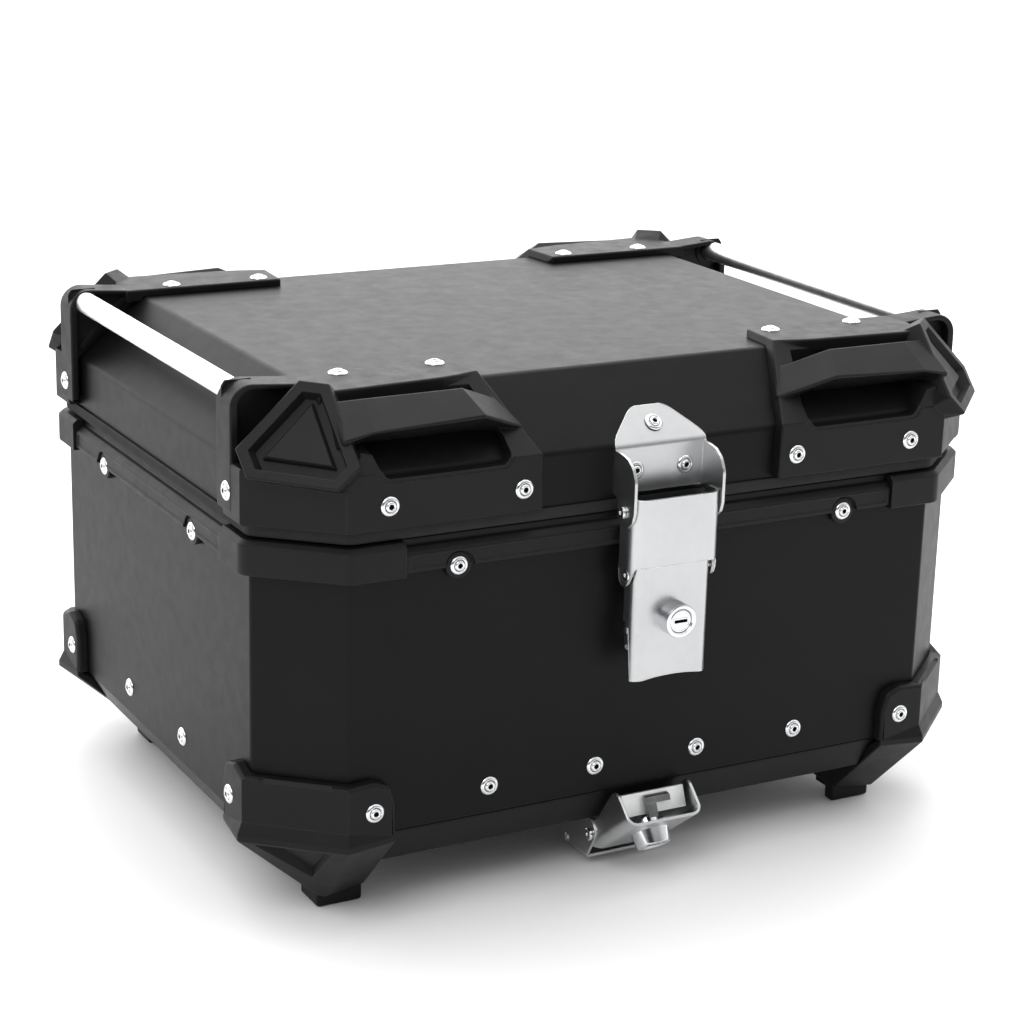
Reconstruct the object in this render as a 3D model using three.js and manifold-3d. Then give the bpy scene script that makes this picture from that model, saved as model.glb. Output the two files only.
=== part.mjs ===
// Aluminium motorcycle top case, about 45 litres: a riveted eight-sided box with a hinged lid,
// plastic corner guards with grab handles, tube rails, a draw latch with a key lock and a
// keyed quick-release under the front edge.
//
// Millimetres. +Z up, -Y is the latch side, +X runs along the latch side.
// The origin is the centre of the flat pad on the underside of the floor pan.
import * as THREE from 'three';
import { mergeVertices } from 'three/addons/utils/BufferGeometryUtils.js';
import { ConvexGeometry } from 'three/addons/geometries/ConvexGeometry.js';
import Module from 'manifold-3d';

const wasm = await Module();
wasm.setup();

// ---------------------------------------------------------------- driving dimensions
const HX = 215, HY = 171;              // half width and half depth of the box
const CHX = 38.7, CHY = 34.2;          // legs of the vertical corner chamfer along x and y
const WALL = 1.8;                      // sheet thickness
const GAP = 0.3;                       // clearance between fitted pieces
const BEVEL = 13.5, BEVEL_TOP = 23.5;  // bottom bevel: inset at the floor and height
const PAD_X = 150, PAD_Y = 108, PAD = 1.2;   // flat pad pressed into the underside: half sizes and depth
const WRAP_TOP = 175;                  // top edge of the body sheet
const PAN_FLANGE_TOP = 46;             // upturned flange of the floor pan
const TRIM_LOW = 163, TRIM_OUT = 4.8;  // edge trim: bottom edge and how far it stands proud
const CORNER_LOW = 161.2, CORNER_TOP = 179.3, CORNER_OUT = 6.3;
const RIM_TOP = 179.5;                 // top of the sealing rim of the trim
const STRIP_X = 147.4, CORNER_X = 148, STRIP_Y = 110.9, CORNER_Y = 111.5;
const LID_LOW = 184, LID_CREASE = 214.5, LID_TOP = 248.7, LID_INSET = 37.75;
const GUARD = 6.3;                     // guard thickness outside the sheet
const LID_GUARD_LOW = 187, FLANGE_TOP = 252.9, FIN_TOP = 255.8, FIN_X = 221.5;
const FOOT_Z = -30;                    // underside of the feet
const HINGE_Y = 181, HINGE_Z = 183.5, HINGE_X = 42;   // lid hinge axis and hinge centres
const PIN1_Y = -182.3, PIN1_Z = 182.1; // catch pin: sleeve swings on it
const PIN2_Y = -185.4, PIN2_Z = 148.9; // sleeve pin: lever swings on it
const BASE_PIN_Y = -182.5, BASE_PIN_Z = 117.5;
const LOCK_Z = 124.5;                  // key lock of the latch
const PIV_Y = -155.3, PIV_Z = -9.1;    // pivot of the quick-release lever
const RIVET_R = 5.2;
const TUBE_X = 212, TUBE_Z = 247.7, TUBE_R = 6, TUBE_HALF = 119.4;

// ---------------------------------------------------------------- solids
function solid(geometry) {
  let g = geometry.index ? geometry.clone() : geometry;
  g.deleteAttribute('normal');
  g.deleteAttribute('uv');
  g = mergeVertices(g, 1e-4);
  return new wasm.Manifold(new wasm.Mesh({
    numProp: 3,
    vertProperties: new Float32Array(g.attributes.position.array),
    triVerts: new Uint32Array(g.index.array),
  }));
}
function geometryOf(manifold) {
  const m = manifold.getMesh();
  const g = new THREE.BufferGeometry();
  const p = new Float32Array(m.numVert * 3);
  for (let i = 0; i < m.numVert; i++) for (let k = 0; k < 3; k++) p[3 * i + k] = m.vertProperties[i * m.numProp + k];
  g.setAttribute('position', new THREE.BufferAttribute(p, 3));
  g.setIndex(new THREE.BufferAttribute(new Uint32Array(m.triVerts), 1));
  return g;
}
const hull = pts => solid(new ConvexGeometry(pts.map(p => new THREE.Vector3(...p))));
const join = (...s) => s.flat().reduce((a, b) => a.add(b));
const cut = (a, ...s) => s.flat().reduce((x, b) => x.subtract(b), a);

// a polygon in the plane of the two named axes, extruded along the third
function plateShape(points, holes = []) {
  const s = new THREE.Shape(points.map(p => new THREE.Vector2(...p)));
  for (const h of holes) s.holes.push(new THREE.Path(h.map(p => new THREE.Vector2(...p))));
  return s;
}
function extruded(points, a, b, axis, holes = []) {
  const g = new THREE.ExtrudeGeometry(plateShape(points, holes), { depth: b - a, bevelEnabled: false, curveSegments: 6 });
  g.translate(0, 0, a);
  const m = new THREE.Matrix4();
  if (axis === 'x') m.makeBasis(new THREE.Vector3(0, 1, 0), new THREE.Vector3(0, 0, 1), new THREE.Vector3(1, 0, 0));      // (y, z)
  if (axis === 'y') m.makeBasis(new THREE.Vector3(1, 0, 0), new THREE.Vector3(0, 0, 1), new THREE.Vector3(0, -1, 0));     // (x, z), depth runs to -y
  if (axis === 'z') m.identity();                                                                                          // (x, y)
  g.applyMatrix4(m);
  return solid(g);
}
const alongX = (pts, x0, x1, holes) => extruded(pts, x0, x1, 'x', holes);
const alongY = (pts, y0, y1, holes) => extruded(pts, -y1, -y0, 'y', holes);
const alongZ = (pts, z0, z1, holes) => extruded(pts, z0, z1, 'z', holes);
const box = (x0, x1, y0, y1, z0, z1) => {
  const g = new THREE.BoxGeometry(x1 - x0, y1 - y0, z1 - z0);
  g.translate((x0 + x1) / 2, (y0 + y1) / 2, (z0 + z1) / 2);
  return solid(g);
};
// a turned piece: profile of (radius, height) from the axis round to the axis, set at point along direction
function turned(profile, at, dir, segments = 12) {
  const g = new THREE.LatheGeometry(profile.map(p => new THREE.Vector2(...p)), segments);
  g.rotateX(Math.PI / 2);
  const q = new THREE.Quaternion().setFromUnitVectors(new THREE.Vector3(0, 0, 1), new THREE.Vector3(...dir).normalize());
  g.applyQuaternion(q);
  g.translate(...at);
  const s = solid(g);
  return s;
}
const rod = (r, from, dir, length, segments = 12) => turned([[0, 0], [r, 0], [r, length], [0, length]], from, dir, segments);
const ringXY = (r, n, cx, cy, start = 0) => Array.from({ length: n }, (_, i) => [cx + r * Math.cos(start + 2 * Math.PI * i / n), cy + r * Math.sin(start + 2 * Math.PI * i / n)]);

// eight-sided outline of the box, moved inwards by d, at height z
function oct(d, z) {
  const hx = HX - d, hy = HY - d, cx = CHX - 0.622 * d, cy = CHY - 0.55 * d;
  return [[hx, hy - cy], [hx - cx, hy], [cx - hx, hy], [-hx, hy - cy], [-hx, cy - hy], [cx - hx, -hy], [hx - cx, -hy], [hx, cy - hy]]
    .map(p => [...p, z]);
}
const prism = (d, z0, z1) => hull([...oct(d, z0), ...oct(d, z1)]);

// dome-headed rivet: head outside a surface at point, shank running inwards
function rivet(at, out, shank, r = RIVET_R) {
  return turned([[0, -shank], [1.5, -shank], [1.5, 0], [r, 0], [r * 0.85, 1.3], [0, 2.3]], at, out, 8);
}
const hole = (at, out, r = 2.2, reach = 14) => rod(r, at.map((v, i) => v - out[i] * reach), out, 2 * reach, 6);

const group = new THREE.Group();
const nodes = {};
function piece(name, manifoldOrGeometry, color, roughness, metalness) {
  const g = manifoldOrGeometry.isBufferGeometry ? manifoldOrGeometry : geometryOf(manifoldOrGeometry);
  const mesh = new THREE.Mesh(g, new THREE.MeshStandardMaterial({ color, roughness, metalness, flatShading: true }));
  mesh.name = name;
  group.add(mesh);
  nodes[name] = g;
  return g;
}
function mirrored(geometry, mx, my) {
  const g = geometry.clone();
  g.scale(mx ? -1 : 1, my ? -1 : 1, 1);
  if (mx !== my) {
    const ix = g.index.array;
    for (let i = 0; i < ix.length; i += 3) { const t = ix[i + 1]; ix[i + 1] = ix[i + 2]; ix[i + 2] = t; }
  }
  return g;
}
const PAINT = [0x1b1c1e, 0.55, 0.4], PLASTIC = [0x161718, 0.62, 0.0], RUBBER = [0x0c0c0d, 0.85, 0.0];
const STEEL = [0xb9bbbd, 0.35, 1.0], ALU = [0xe6e8ea, 0.3, 1.0], CHROME = [0xd5d7da, 0.15, 1.0];
const FACES = [[0, -1], [0, 1], [-1, 0], [1, 0]];

// ---------------------------------------------------------------- body
// rivet places: [point on the sheet, outward direction]
const lowRivets = [];
for (const s of [-1, 1]) {
  for (const x of [-95.5, -31.8, 31.8, 95.5]) lowRivets.push([[x, s * HY, 38.5], [0, s, 0]]);
  for (const y of [-41, 41]) lowRivets.push([[s * HX, y, 38.5], [s, 0, 0]]);
}
const trimRivets = [];
for (const s of [-1, 1]) {
  for (const x of [-117.4, 117.4]) trimRivets.push([[x, s * HY, 163.2], [0, s, 0]]);
  for (const y of [-67, 67]) trimRivets.push([[s * HX, y, 163.2], [s, 0, 0]]);
}
const footRivets = [];
for (const sx of [-1, 1]) for (const sy of [-1, 1]) {
  footRivets.push([[sx * 164.2, sy * HY, 38.1], [0, sy, 0]], [[sx * HX, sy * 123, 38.1], [sx, 0, 0]]);
}
const move = (p, out, d) => p.map((v, i) => v + out[i] * d);

const bodyOver = hull([...oct(BEVEL - GAP, PAD - GAP), ...oct(-GAP, BEVEL_TOP - 0.2), ...oct(-GAP, WRAP_TOP)]);

let wrapper = cut(prism(0, BEVEL_TOP, WRAP_TOP), prism(WALL, BEVEL_TOP - 5, WRAP_TOP + 5));
wrapper = cut(wrapper, [...lowRivets, ...trimRivets, ...footRivets].map(([p, n]) => hole(p, n, 2.2, 5)));
const baseRivets = [[[-9, -HY, 112], [0, -1, 0]], [[9, -HY, 112], [0, -1, 0]], [[0, -HY, 137], [0, -1, 0]]];
const leafRivets = [];
for (const s of [-1, 1]) for (const dx of [-14, 14]) leafRivets.push([[s * HINGE_X + dx, HY, 145], [0, 1, 0]]);
wrapper = cut(wrapper, [...baseRivets, ...leafRivets].map(([p, n]) => hole(p, n, 2.2, 5)));
piece('body_wrapper', wrapper, ...PAINT);

const PADX = PAD_X + 2, PADY = PAD_Y + 2;
let pan = join(hull([...oct(BEVEL, PAD), ...oct(0.8, BEVEL_TOP - 1.0)]), prism(WALL + GAP, BEVEL_TOP - 1.2, PAN_FLANGE_TOP),
  hull([[-PAD_X, -PAD_Y, 0], [PAD_X, -PAD_Y, 0], [PAD_X, PAD_Y, 0], [-PAD_X, PAD_Y, 0], [-PADX, -PADY, PAD + 0.4], [PADX, -PADY, PAD + 0.4], [PADX, PADY, PAD + 0.4], [-PADX, PADY, PAD + 0.4]]));
pan = cut(pan, hull([...oct(BEVEL + 1.0, PAD + WALL), ...oct(2 * WALL + GAP, BEVEL_TOP)]), prism(2 * WALL + GAP, BEVEL_TOP - 0.5, PAN_FLANGE_TOP + 5));
pan = join(pan, lowRivets.map(([p, n]) => rivet(move(p, n, GAP), n, WALL + 2.2)));
piece('floor_pan', pan, ...PAINT);
piece('floor_mat', prism(17.5, PAD + WALL + GAP, PAD + WALL + GAP + 3), ...RUBBER);

// edge trim: a moulded channel over the sheet edge with a sealing rim
const trimProfile = [[GAP, TRIM_LOW], [TRIM_OUT, TRIM_LOW], [TRIM_OUT, 172.8], [TRIM_OUT - 1, 174.9], [TRIM_OUT - 3, WRAP_TOP + GAP + 0.4], [-0.6, WRAP_TOP + 1.2],
  [-0.9, RIM_TOP], [-3.6, RIM_TOP], [-4.4, WRAP_TOP + 0.5], [-4.4, TRIM_LOW], [-(WALL + GAP), TRIM_LOW], [-(WALL + GAP), WRAP_TOP + GAP], [GAP, WRAP_TOP + GAP]];
function strip(face, half) {
  const [fx, fy] = face;
  let s = fy
    ? alongX(trimProfile.map(([o, z]) => [fy * (HY + o), z]), -half, half)
    : alongY(trimProfile.map(([o, z]) => [fx * (HX + o), z]), -half, half);
  for (const [p, n] of trimRivets.filter(r => r[1][0] === fx && r[1][1] === fy)) {
    s = cut(s, rod(8.3, move(p, n, 2.6), n, 6, 12), hole(p, n, 2.2, 5));
    s = join(s, rod(7.2, move(p, n, GAP), n, 2.35, 12), rivet(move(p, n, 2.6), n, 5.5, 5.0));
  }
  return s;
}
piece('trim_front', strip([0, -1], STRIP_X), ...PLASTIC);
piece('trim_back', strip([0, 1], STRIP_X), ...PLASTIC);
piece('trim_left', strip([-1, 0], STRIP_Y), ...PLASTIC);
piece('trim_right', strip([1, 0], STRIP_Y), ...PLASTIC);

// front-left corner trim
const cornerBlock = cut(
  join(prism(-CORNER_OUT, CORNER_LOW, CORNER_TOP)),
  prism(4.4, CORNER_LOW - 5, CORNER_TOP + 5));
const cornerSlot = cut(prism(-GAP, CORNER_LOW - 5, WRAP_TOP + GAP), prism(WALL + GAP, CORNER_LOW - 6, WRAP_TOP + GAP + 1));
const cornerZone = join(
  box(-HX - 10, -CORNER_X, -HY - 10, -HY + 34, 150, 200), box(-HX - 10, -HX + 39, -HY - 10, -CORNER_Y, 150, 200));
const cornerTrim = geometryOf(cut(cornerBlock.intersect(cornerZone), cornerSlot));
piece('trim_corner_front_left', cornerTrim, ...PLASTIC);
piece('trim_corner_front_right', mirrored(cornerTrim, true, false), ...PLASTIC);
piece('trim_corner_back_left', mirrored(cornerTrim, false, true), ...PLASTIC);
piece('trim_corner_back_right', mirrored(cornerTrim, true, true), ...PLASTIC);

// front-left foot guard
const gx = HX + GUARD, gy = HY + GUARD;
const cornerA = d => { const o = oct(-d, 0); return [o[4], o[5]]; };   // the two corners of the front-left chamfer
const [ga, gb] = cornerA(GUARD), [ra, rb] = cornerA(9.3);
let foot = join(
  alongX([[-113.7, 45], [-116.5, 52], [-123, 57], [-130, 57.4], [-139.6, 53.6], [-139.6, 22.5], [-114.4, 21.5]], -gx, -200),
  alongY([[-178.7, 53.6], [-165, 54.6], [-156.5, 51.5], [-152, 44.5], [-152, 23], [-178.7, 23]], -gy, -150),
  hull([[ga[0], ga[1], 22.5], [gb[0], gb[1], 22.5], [ga[0], ga[1], 53.6], [gb[0], gb[1], 53.6], [-190, -120, 22.5], [-160, -150, 22.5], [-190, -120, 53.6], [-160, -150, 53.6]]),
  // wedge under the corner, down to the foot block
  hull([[ga[0], ga[1], 29.3], [gb[0], gb[1], 29.3], [ra[0], ra[1], 22.6], [rb[0], rb[1], 22.6], [ra[0], ra[1], 19.5], [rb[0], rb[1], 19.5],
    [-178, -138.5, -21.5], [-175.5, -141.2, -21.5], [-151.5, -137.6, -20], [-176.6, -114, -20], [-151.5, -114, -20], [-152, -gy, 20.5], [-152, -gy, 24], [-gx, -114.4, 20.5], [-gx, -114.4, 24]]),
  alongZ([[-177.5, -113.7], [-151.5, -113.7], [-151.5, -136], [-177.5, -136]], FOOT_Z, -17),
);
foot = cut(foot, bodyOver);
foot = join(foot, rivet([-164.2, -gy, 38.1], [0, -1, 0], GUARD + WALL - GAP), rivet([-gx, -123, 38.1], [-1, 0, 0], GUARD + WALL - GAP));
const footGuard = geometryOf(foot);
piece('foot_guard_front_left', footGuard, ...PLASTIC);
piece('foot_guard_front_right', mirrored(footGuard, true, false), ...PLASTIC);
piece('foot_guard_back_left', mirrored(footGuard, false, true), ...PLASTIC);
piece('foot_guard_back_right', mirrored(footGuard, true, true), ...PLASTIC);

// ---------------------------------------------------------------- lid
const lidGuardRivets = [];
for (const sx of [-1, 1]) for (const sy of [-1, 1]) {
  lidGuardRivets.push([[sx * 157.6, sy * HY, 199.7], [0, sy, 0]], [[sx * 82.8, sy * HY, 199.7], [0, sy, 0]], [[sx * HX, sy * 122.5, 200.5], [sx, 0, 0]],
    [[sx * 158, sy * 116, LID_TOP], [0, 0, 1]], [[sx * 103.5, sy * 116, LID_TOP], [0, 0, 1]]);
}
const SLOPE = Math.hypot(LID_TOP - LID_CREASE, LID_INSET);
const SN = [0, -(LID_TOP - LID_CREASE) / SLOPE, LID_INSET / SLOPE];    // normal of the front slope
const catchRivets = [[[-15, -HY, 200.8], [0, -1, 0]], [[15, -HY, 200.8], [0, -1, 0]], [[0, -HY + (221.5 - LID_CREASE) * LID_INSET / (LID_TOP - LID_CREASE), 221.5], SN]];
const lidLeafRivets = [];
for (const s of [-1, 1]) for (const dx of [-14, 14]) lidLeafRivets.push([[s * HINGE_X + dx, HY, 203], [0, 1, 0]]);
let lid = cut(hull([...oct(0, LID_LOW), ...oct(0, LID_CREASE), ...oct(LID_INSET, LID_TOP)]),
  hull([...oct(WALL, LID_LOW - 5), ...oct(WALL, LID_CREASE - 0.7), ...oct(LID_INSET + 0.9, LID_TOP - WALL)]));
lid = cut(lid, [...lidGuardRivets, ...catchRivets, ...lidLeafRivets].map(([p, n]) => hole(p, n, 2.2, 5)));
piece('lid_shell', lid, ...PAINT);

let seal = cut(prism(-1.6, 180.4, 186.5), prism(4.4, 175, 190));
seal = cut(seal, cut(prism(-GAP, LID_LOW - GAP, 190), prism(WALL + GAP, LID_LOW - GAP - 1, 191)));
piece('lid_seal', seal, ...RUBBER);

// front-left lid guard: skirt, top flange, fin that holds the rail, corner badge and grab handle
const lidOver = hull([...oct(-GAP, LID_LOW), ...oct(-GAP, LID_CREASE + 0.1), ...oct(LID_INSET - GAP, LID_TOP + GAP)]);
let guard = join(
  alongY([[-178.7, LID_GUARD_LOW], [-72, LID_GUARD_LOW], [-72, 213], [-178.7, 213]], -gy, -150),
  alongX([[-139.6, LID_GUARD_LOW], [-117, LID_GUARD_LOW], [-117, 215], [-139.6, 215]], -gx, -190),
  hull([[ga[0], ga[1], LID_GUARD_LOW], [gb[0], gb[1], LID_GUARD_LOW], [ga[0], ga[1], 211], [gb[0], gb[1], 211], [-190, -120, 187], [-160, -150, 187], [-190, -120, 211], [-160, -150, 211]]),
  // sloped end panel beside the hand opening
  hull([[-90, -gy, 213], [-72, -gy, 213], [-72, -gy, 215], [-76, -164, 227], [-90.4, -143, 250], [-92.5, -136, FLANGE_TOP], [-100, -136, FLANGE_TOP], [-100, -143, 250], [-92, -gy, 215],
    [-72, -165, 212], [-90, -165, 212], [-92.5, -125, 247], [-100, -125, 247]]),
  // top flange
  alongZ([[-209, -109], [-92.5, -109], [-90.4, -140.5], [-112, -142.5], [-160, -147], [-209, -140]], LID_TOP - 2, FLANGE_TOP),
  // fin: web across the corner with the rail socket, and its deep rim
  alongY([[-FIN_X, 190], [-FIN_X, FIN_TOP - 11], [-FIN_X + 3.2, FIN_TOP - 3.2], [-FIN_X + 11, FIN_TOP], [-185, FLANGE_TOP], [-150, FLANGE_TOP], [-150, 190]], -122.6, -116),
  alongY([[-FIN_X, 190], [-FIN_X, FIN_TOP - 11], [-FIN_X + 3.2, FIN_TOP - 3.2], [-FIN_X + 11, FIN_TOP], [-185, FLANGE_TOP], [-185, FLANGE_TOP - 3], [-FIN_X + 12, FIN_TOP - 3.2], [-FIN_X + 5.4, FIN_TOP - 5.4], [-FIN_X + 3, FIN_TOP - 12], [-FIN_X + 3, 190]], -130, -120),
  // badge on the corner
  hull([[-189.8, -140.1, 258.3], [-178.7, -151.1, 257.8], [-179.2, -174.6, 232.5], [-177.2, -185.1, 223.5], [-188.8, -184.3, 212.7], [-222.4, -150.9, 214.1], [-223.5, -138.5, 226.1],
    [-184, -133, 252], [-172, -143.5, 252], [-168, -160, 228], [-168, -170, 212], [-178, -168, 205], [-208, -134, 205], [-213, -125, 222]]),
  // grip bar
  hull([[-163, -158.5, 250.2], [-111, -161.5, 251.3], [-165.5, -178, 238.4], [-105, -178, 240], [-165.5, -170, 233.6], [-105, -170, 235.2], [-163, -152, 246], [-111, -154, 246.5]]),
  hull([[-163, -158.5, 250.2], [-176, -154.5, 249.2], [-178.5, -172.3, 234.2], [-165.5, -178, 238.4], [-165.5, -170, 233.6], [-176, -165, 230], [-176, -150, 245], [-163, -152, 246]]),
  hull([[-111, -161.5, 251.3], [-87.2, -151.8, 242.7], [-79.7, -166.5, 227.6], [-105, -178, 240], [-105, -170, 235.2], [-83, -162, 223.5], [-88, -148, 238], [-111, -154, 246.5]]),
);
// hand opening behind and below the grip
const hand = join(
  hull([[-166.5, -200, 224.5], [-159.5, -200, 213.3], [-94, -200, 213.3], [-90, -200, 216.5], [-90, -200, 224], [-166.5, -150, 224.5], [-159.5, -150, 213.3], [-94, -150, 213.3], [-90, -150, 216.5], [-90, -150, 224]]),
);
guard = cut(guard, hand, lidOver);
guard = cut(guard, rod(TUBE_R + 0.45, [-TUBE_X, -100, TUBE_Z], [0, -1, 0], 19.8, 12));
guard = join(guard, rivet([-157.6, -gy, 199.7], [0, -1, 0], GUARD + WALL - GAP), rivet([-82.8, -gy, 199.7], [0, -1, 0], GUARD + WALL - GAP),
  rivet([-gx, -122.5, 200.5], [-1, 0, 0], GUARD + WALL - GAP),
  rivet([-158, -116, FLANGE_TOP], [0, 0, 1], FLANGE_TOP - LID_TOP + WALL - GAP), rivet([-103.5, -116, FLANGE_TOP], [0, 0, 1], FLANGE_TOP - LID_TOP + WALL - GAP));
const lidGuard = geometryOf(guard);
piece('lid_guard_front_left', lidGuard, ...PLASTIC);
piece('lid_guard_front_right', mirrored(lidGuard, true, false), ...PLASTIC);
piece('lid_guard_back_left', mirrored(lidGuard, false, true), ...PLASTIC);
piece('lid_guard_back_right', mirrored(lidGuard, true, true), ...PLASTIC);
for (const [name, s] of [['rail_left', -1], ['rail_right', 1]]) {
  piece(name, cut(rod(TUBE_R, [s * TUBE_X, -TUBE_HALF, TUBE_Z], [0, 1, 0], 2 * TUBE_HALF, 16), rod(TUBE_R - 1.2, [s * TUBE_X, -TUBE_HALF - 1, TUBE_Z], [0, 1, 0], 2 * TUBE_HALF + 2, 16)), ...ALU);
}

// ---------------------------------------------------------------- rear hinges
for (const [side, s] of [['left', -1], ['right', 1]]) {
  const x = s * HINGE_X;
  const barrel = (x0, x1) => rod(4, [x + x0, HINGE_Y, HINGE_Z], [1, 0, 0], x1 - x0, 12);
  const bore = rod(2.5, [x - 40, HINGE_Y, HINGE_Z], [1, 0, 0], 80, 8);
  const leaf = [[HY + GAP, 132], [HY + GAP + 1.9, 132], [HY + GAP + 1.9, 160], [178.6, 162.2], [178.6, 181], [176.2, 181], [176.2, 162.9], [HY + GAP, 160.8]];
  const leafTop = [[176.2, 170], [178.6, 170], [183, 181], [HINGE_Y, HINGE_Z], [177.2, HINGE_Z], [176.2, 180]];
  piece('hinge_body_' + side, join(cut(join(alongX(leaf, x - 22, x + 22), alongX(leafTop, x - 22, x + 22)), box(x - 8.3, x + 8.3, 160, 200, 178.2, 200)).subtract(bore),
    cut(join(barrel(-22, -8.3), barrel(8.3, 22)), bore),
    leafRivets.filter(r => Math.abs(r[0][0] - x) < 20).map(([p, n]) => rivet(move(p, n, 2.2), n, 2.2 + WALL, 4.2))), ...STEEL);
  const upper = [[HY + GAP, 190.5], [HY + GAP + 1.9, 191.6], [HY + GAP + 1.9, 213.5], [HY + GAP, 213.5]];
  const tongue = [[HY + GAP, 190.4], [176.6, 186], [178, HINGE_Z], [HINGE_Y, HINGE_Z], [HINGE_Y, HINGE_Z + 4], [HY + GAP + 1.9, 193]];
  piece('hinge_lid_' + side, join(cut(join(alongX(upper, x - 22, x + 22), alongX(tongue, x - 7.7, x + 7.7), barrel(-7.7, 7.7)), bore),
    lidLeafRivets.filter(r => Math.abs(r[0][0] - x) < 20).map(([p, n]) => rivet(move(p, n, 2.2), n, 2.2 + WALL, 4.2))), ...STEEL);
  piece('hinge_pin_' + side, turned([[0, -24.5], [3.4, -24.5], [3.4, -22.6], [2, -22.6], [2, 24], [0, 24]], [x, HINGE_Y, HINGE_Z], [1, 0, 0], 8), ...STEEL);
}

// ---------------------------------------------------------------- latch
const T = 1.8;
// catch bracket on the lid: back plate, tab up the slope, two side ears
const wallY = -HY - GAP;
const tabPoint = (x, z, off) => [x, -HY + (z - LID_CREASE) * LID_INSET / (LID_TOP - LID_CREASE) + SN[1] * off, z + SN[2] * off];
const tabOutline = [[-26, 215], [-22.5, 219], [-13, 227.2], [-8.5, 228.8], [8.5, 228.8], [13, 227.2], [22.5, 219], [26, 215]];
const ear = [[wallY, 211.6], [-181.4, 211.6], [-188.6, 208.6], [-192.4, 204], [-193.3, 199], [-193.3, 184.5], [-191.5, 179.4], [-187, 175.6], [-182, 174.6], [-178, 176.2], [-176.7, 180], [-176.7, 187.5], [wallY, 189.5]];
let bracket = join(
  box(-27.4, 27.4, wallY - T, wallY, 188.5, 214.2),
  hull([...tabOutline.map(([x, z]) => tabPoint(x, z, GAP)), ...tabOutline.map(([x, z]) => tabPoint(x, z, GAP + T))]),
  cut(hull([tabPoint(-26, 216, GAP - 1), tabPoint(26, 216, GAP - 1), tabPoint(-26, 216, GAP + T), tabPoint(26, 216, GAP + T), [-26, wallY + 1, 213.6], [26, wallY + 1, 213.6], [-26, wallY - T, 213.6], [26, wallY - T, 213.6]]), lidOver),
  alongX(ear, -27.4, -25.6), alongX(ear, 25.6, 27.4));
bracket = cut(bracket, rod(2.4, [-40, PIN1_Y, PIN1_Z], [1, 0, 0], 80, 10));
bracket = join(bracket, rivet([-15, wallY - T, 200.8], [0, -1, 0], 3.6, 4.8), rivet([15, wallY - T, 200.8], [0, -1, 0], 3.6, 4.8), rivet(tabPoint(0, 221.5, GAP + T), SN, 3.6, 4.8));
piece('catch_bracket', bracket, ...STEEL);
const headedPin = (r, half, head) => [[0, -half - 1.4], [head, -half - 1.4], [head, -half], [r, -half], [r, half], [head, half], [head, half + 1.4], [0, half + 1.4]];
piece('catch_pin', turned(headedPin(2.1, 27.7, 3.6), [0, PIN1_Y, PIN1_Z], [1, 0, 0], 10), ...STEEL);

// channel section with rounded front corners
function channel(half, front, back, r, t, z0, z1) {
  const arc = (cx, cy, rr, a0, a1) => Array.from({ length: 5 }, (_, i) => { const a = a0 + (a1 - a0) * i / 4; return [cx + rr * Math.cos(a), cy + rr * Math.sin(a)]; });
  const P = Math.PI;
  return alongZ([[-half, back], ...arc(-half + r, front + r, r, P, 1.5 * P), ...arc(half - r, front + r, r, 1.5 * P, 2 * P), [half, back],
    [half - t, back], ...arc(half - r, front + r, r - t, 2 * P, 1.5 * P), ...arc(-half + r, front + r, r - t, 1.5 * P, P), [-half + t, back]], z0, z1);
}
const sleeveSide = [[-195, 192], [-195, 154], [-190.8, 154], [-188.9, 149.5], [-187.6, 145.2], [-184.8, 142.6], [-181.6, 142.8], [-179.4, 146], [-178.6, 151], [-178.6, 187], [-181.2, 190.5], [-190.6, 190.5], [-191, 192]];
let sleeve = channel(25, -193, -178.6, 7, 1.6, 140, 190.5).intersect(alongX(sleeveSide, -30, 30));
sleeve = cut(sleeve, rod(2.5, [-40, PIN1_Y, PIN1_Z], [1, 0, 0], 80, 10), rod(2.4, [-40, PIN2_Y, PIN2_Z], [1, 0, 0], 80, 10));
piece('latch_sleeve', sleeve, ...STEEL);
piece('sleeve_pin', turned(headedPin(2.1, 25.4, 3.6), [0, PIN2_Y, PIN2_Z], [1, 0, 0], 10), ...STEEL);

const leverSide = [[-191, 157], [-191, 89], [-186, 89], [-186, 119.5], [-183, 121.5], [-180, 122.5], [-180, 153], [-183, 157]];
let lever = channel(21.5, -190, -180, 6, 1.8, 90.8, 157).intersect(alongX(leverSide, -30, 30));
lever = cut(lever, rod(2.5, [-40, PIN2_Y, PIN2_Z], [1, 0, 0], 80, 10), rod(8.3, [0, -200, LOCK_Z], [0, 1, 0], 16, 16), rod(60, [0, -200, 32.6], [0, 1, 0], 16, 40));
piece('latch_lever', lever, ...STEEL);
piece('latch_lock_barrel', cut(turned([[0, -9.8], [7.6, -9.8], [8.6, -9], [8.6, -1.2], [9.6, -0.9], [9.6, 0], [7.8, 0.01], [7.8, 10], [0, 10]], [0, -190.35, LOCK_Z], [0, 1, 0], 16),
  rod(6.4, [0, -210, LOCK_Z], [0, 1, 0], 40, 16)), ...CHROME);
let plug = turned([[0, 0], [5.9, 0], [5.9, 20.2], [2.4, 20.2], [2.4, 24], [0, 24]], [0, -199.4, LOCK_Z], [0, 1, 0], 16);
plug = cut(plug, box(-4.4, 4.4, -200, -193, LOCK_Z - 0.9, LOCK_Z + 0.9));
piece('latch_lock_plug', plug, ...CHROME);
piece('latch_cam', cut(alongY([[-4, LOCK_Z + 3.5], [-4.6, LOCK_Z], [-3.4, LOCK_Z - 11], [3.4, LOCK_Z - 11], [4.6, LOCK_Z], [4, LOCK_Z + 3.5]], -178.6, -176.8), rod(2.8, [0, -190, LOCK_Z], [0, 1, 0], 30, 8)), ...STEEL);

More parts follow.
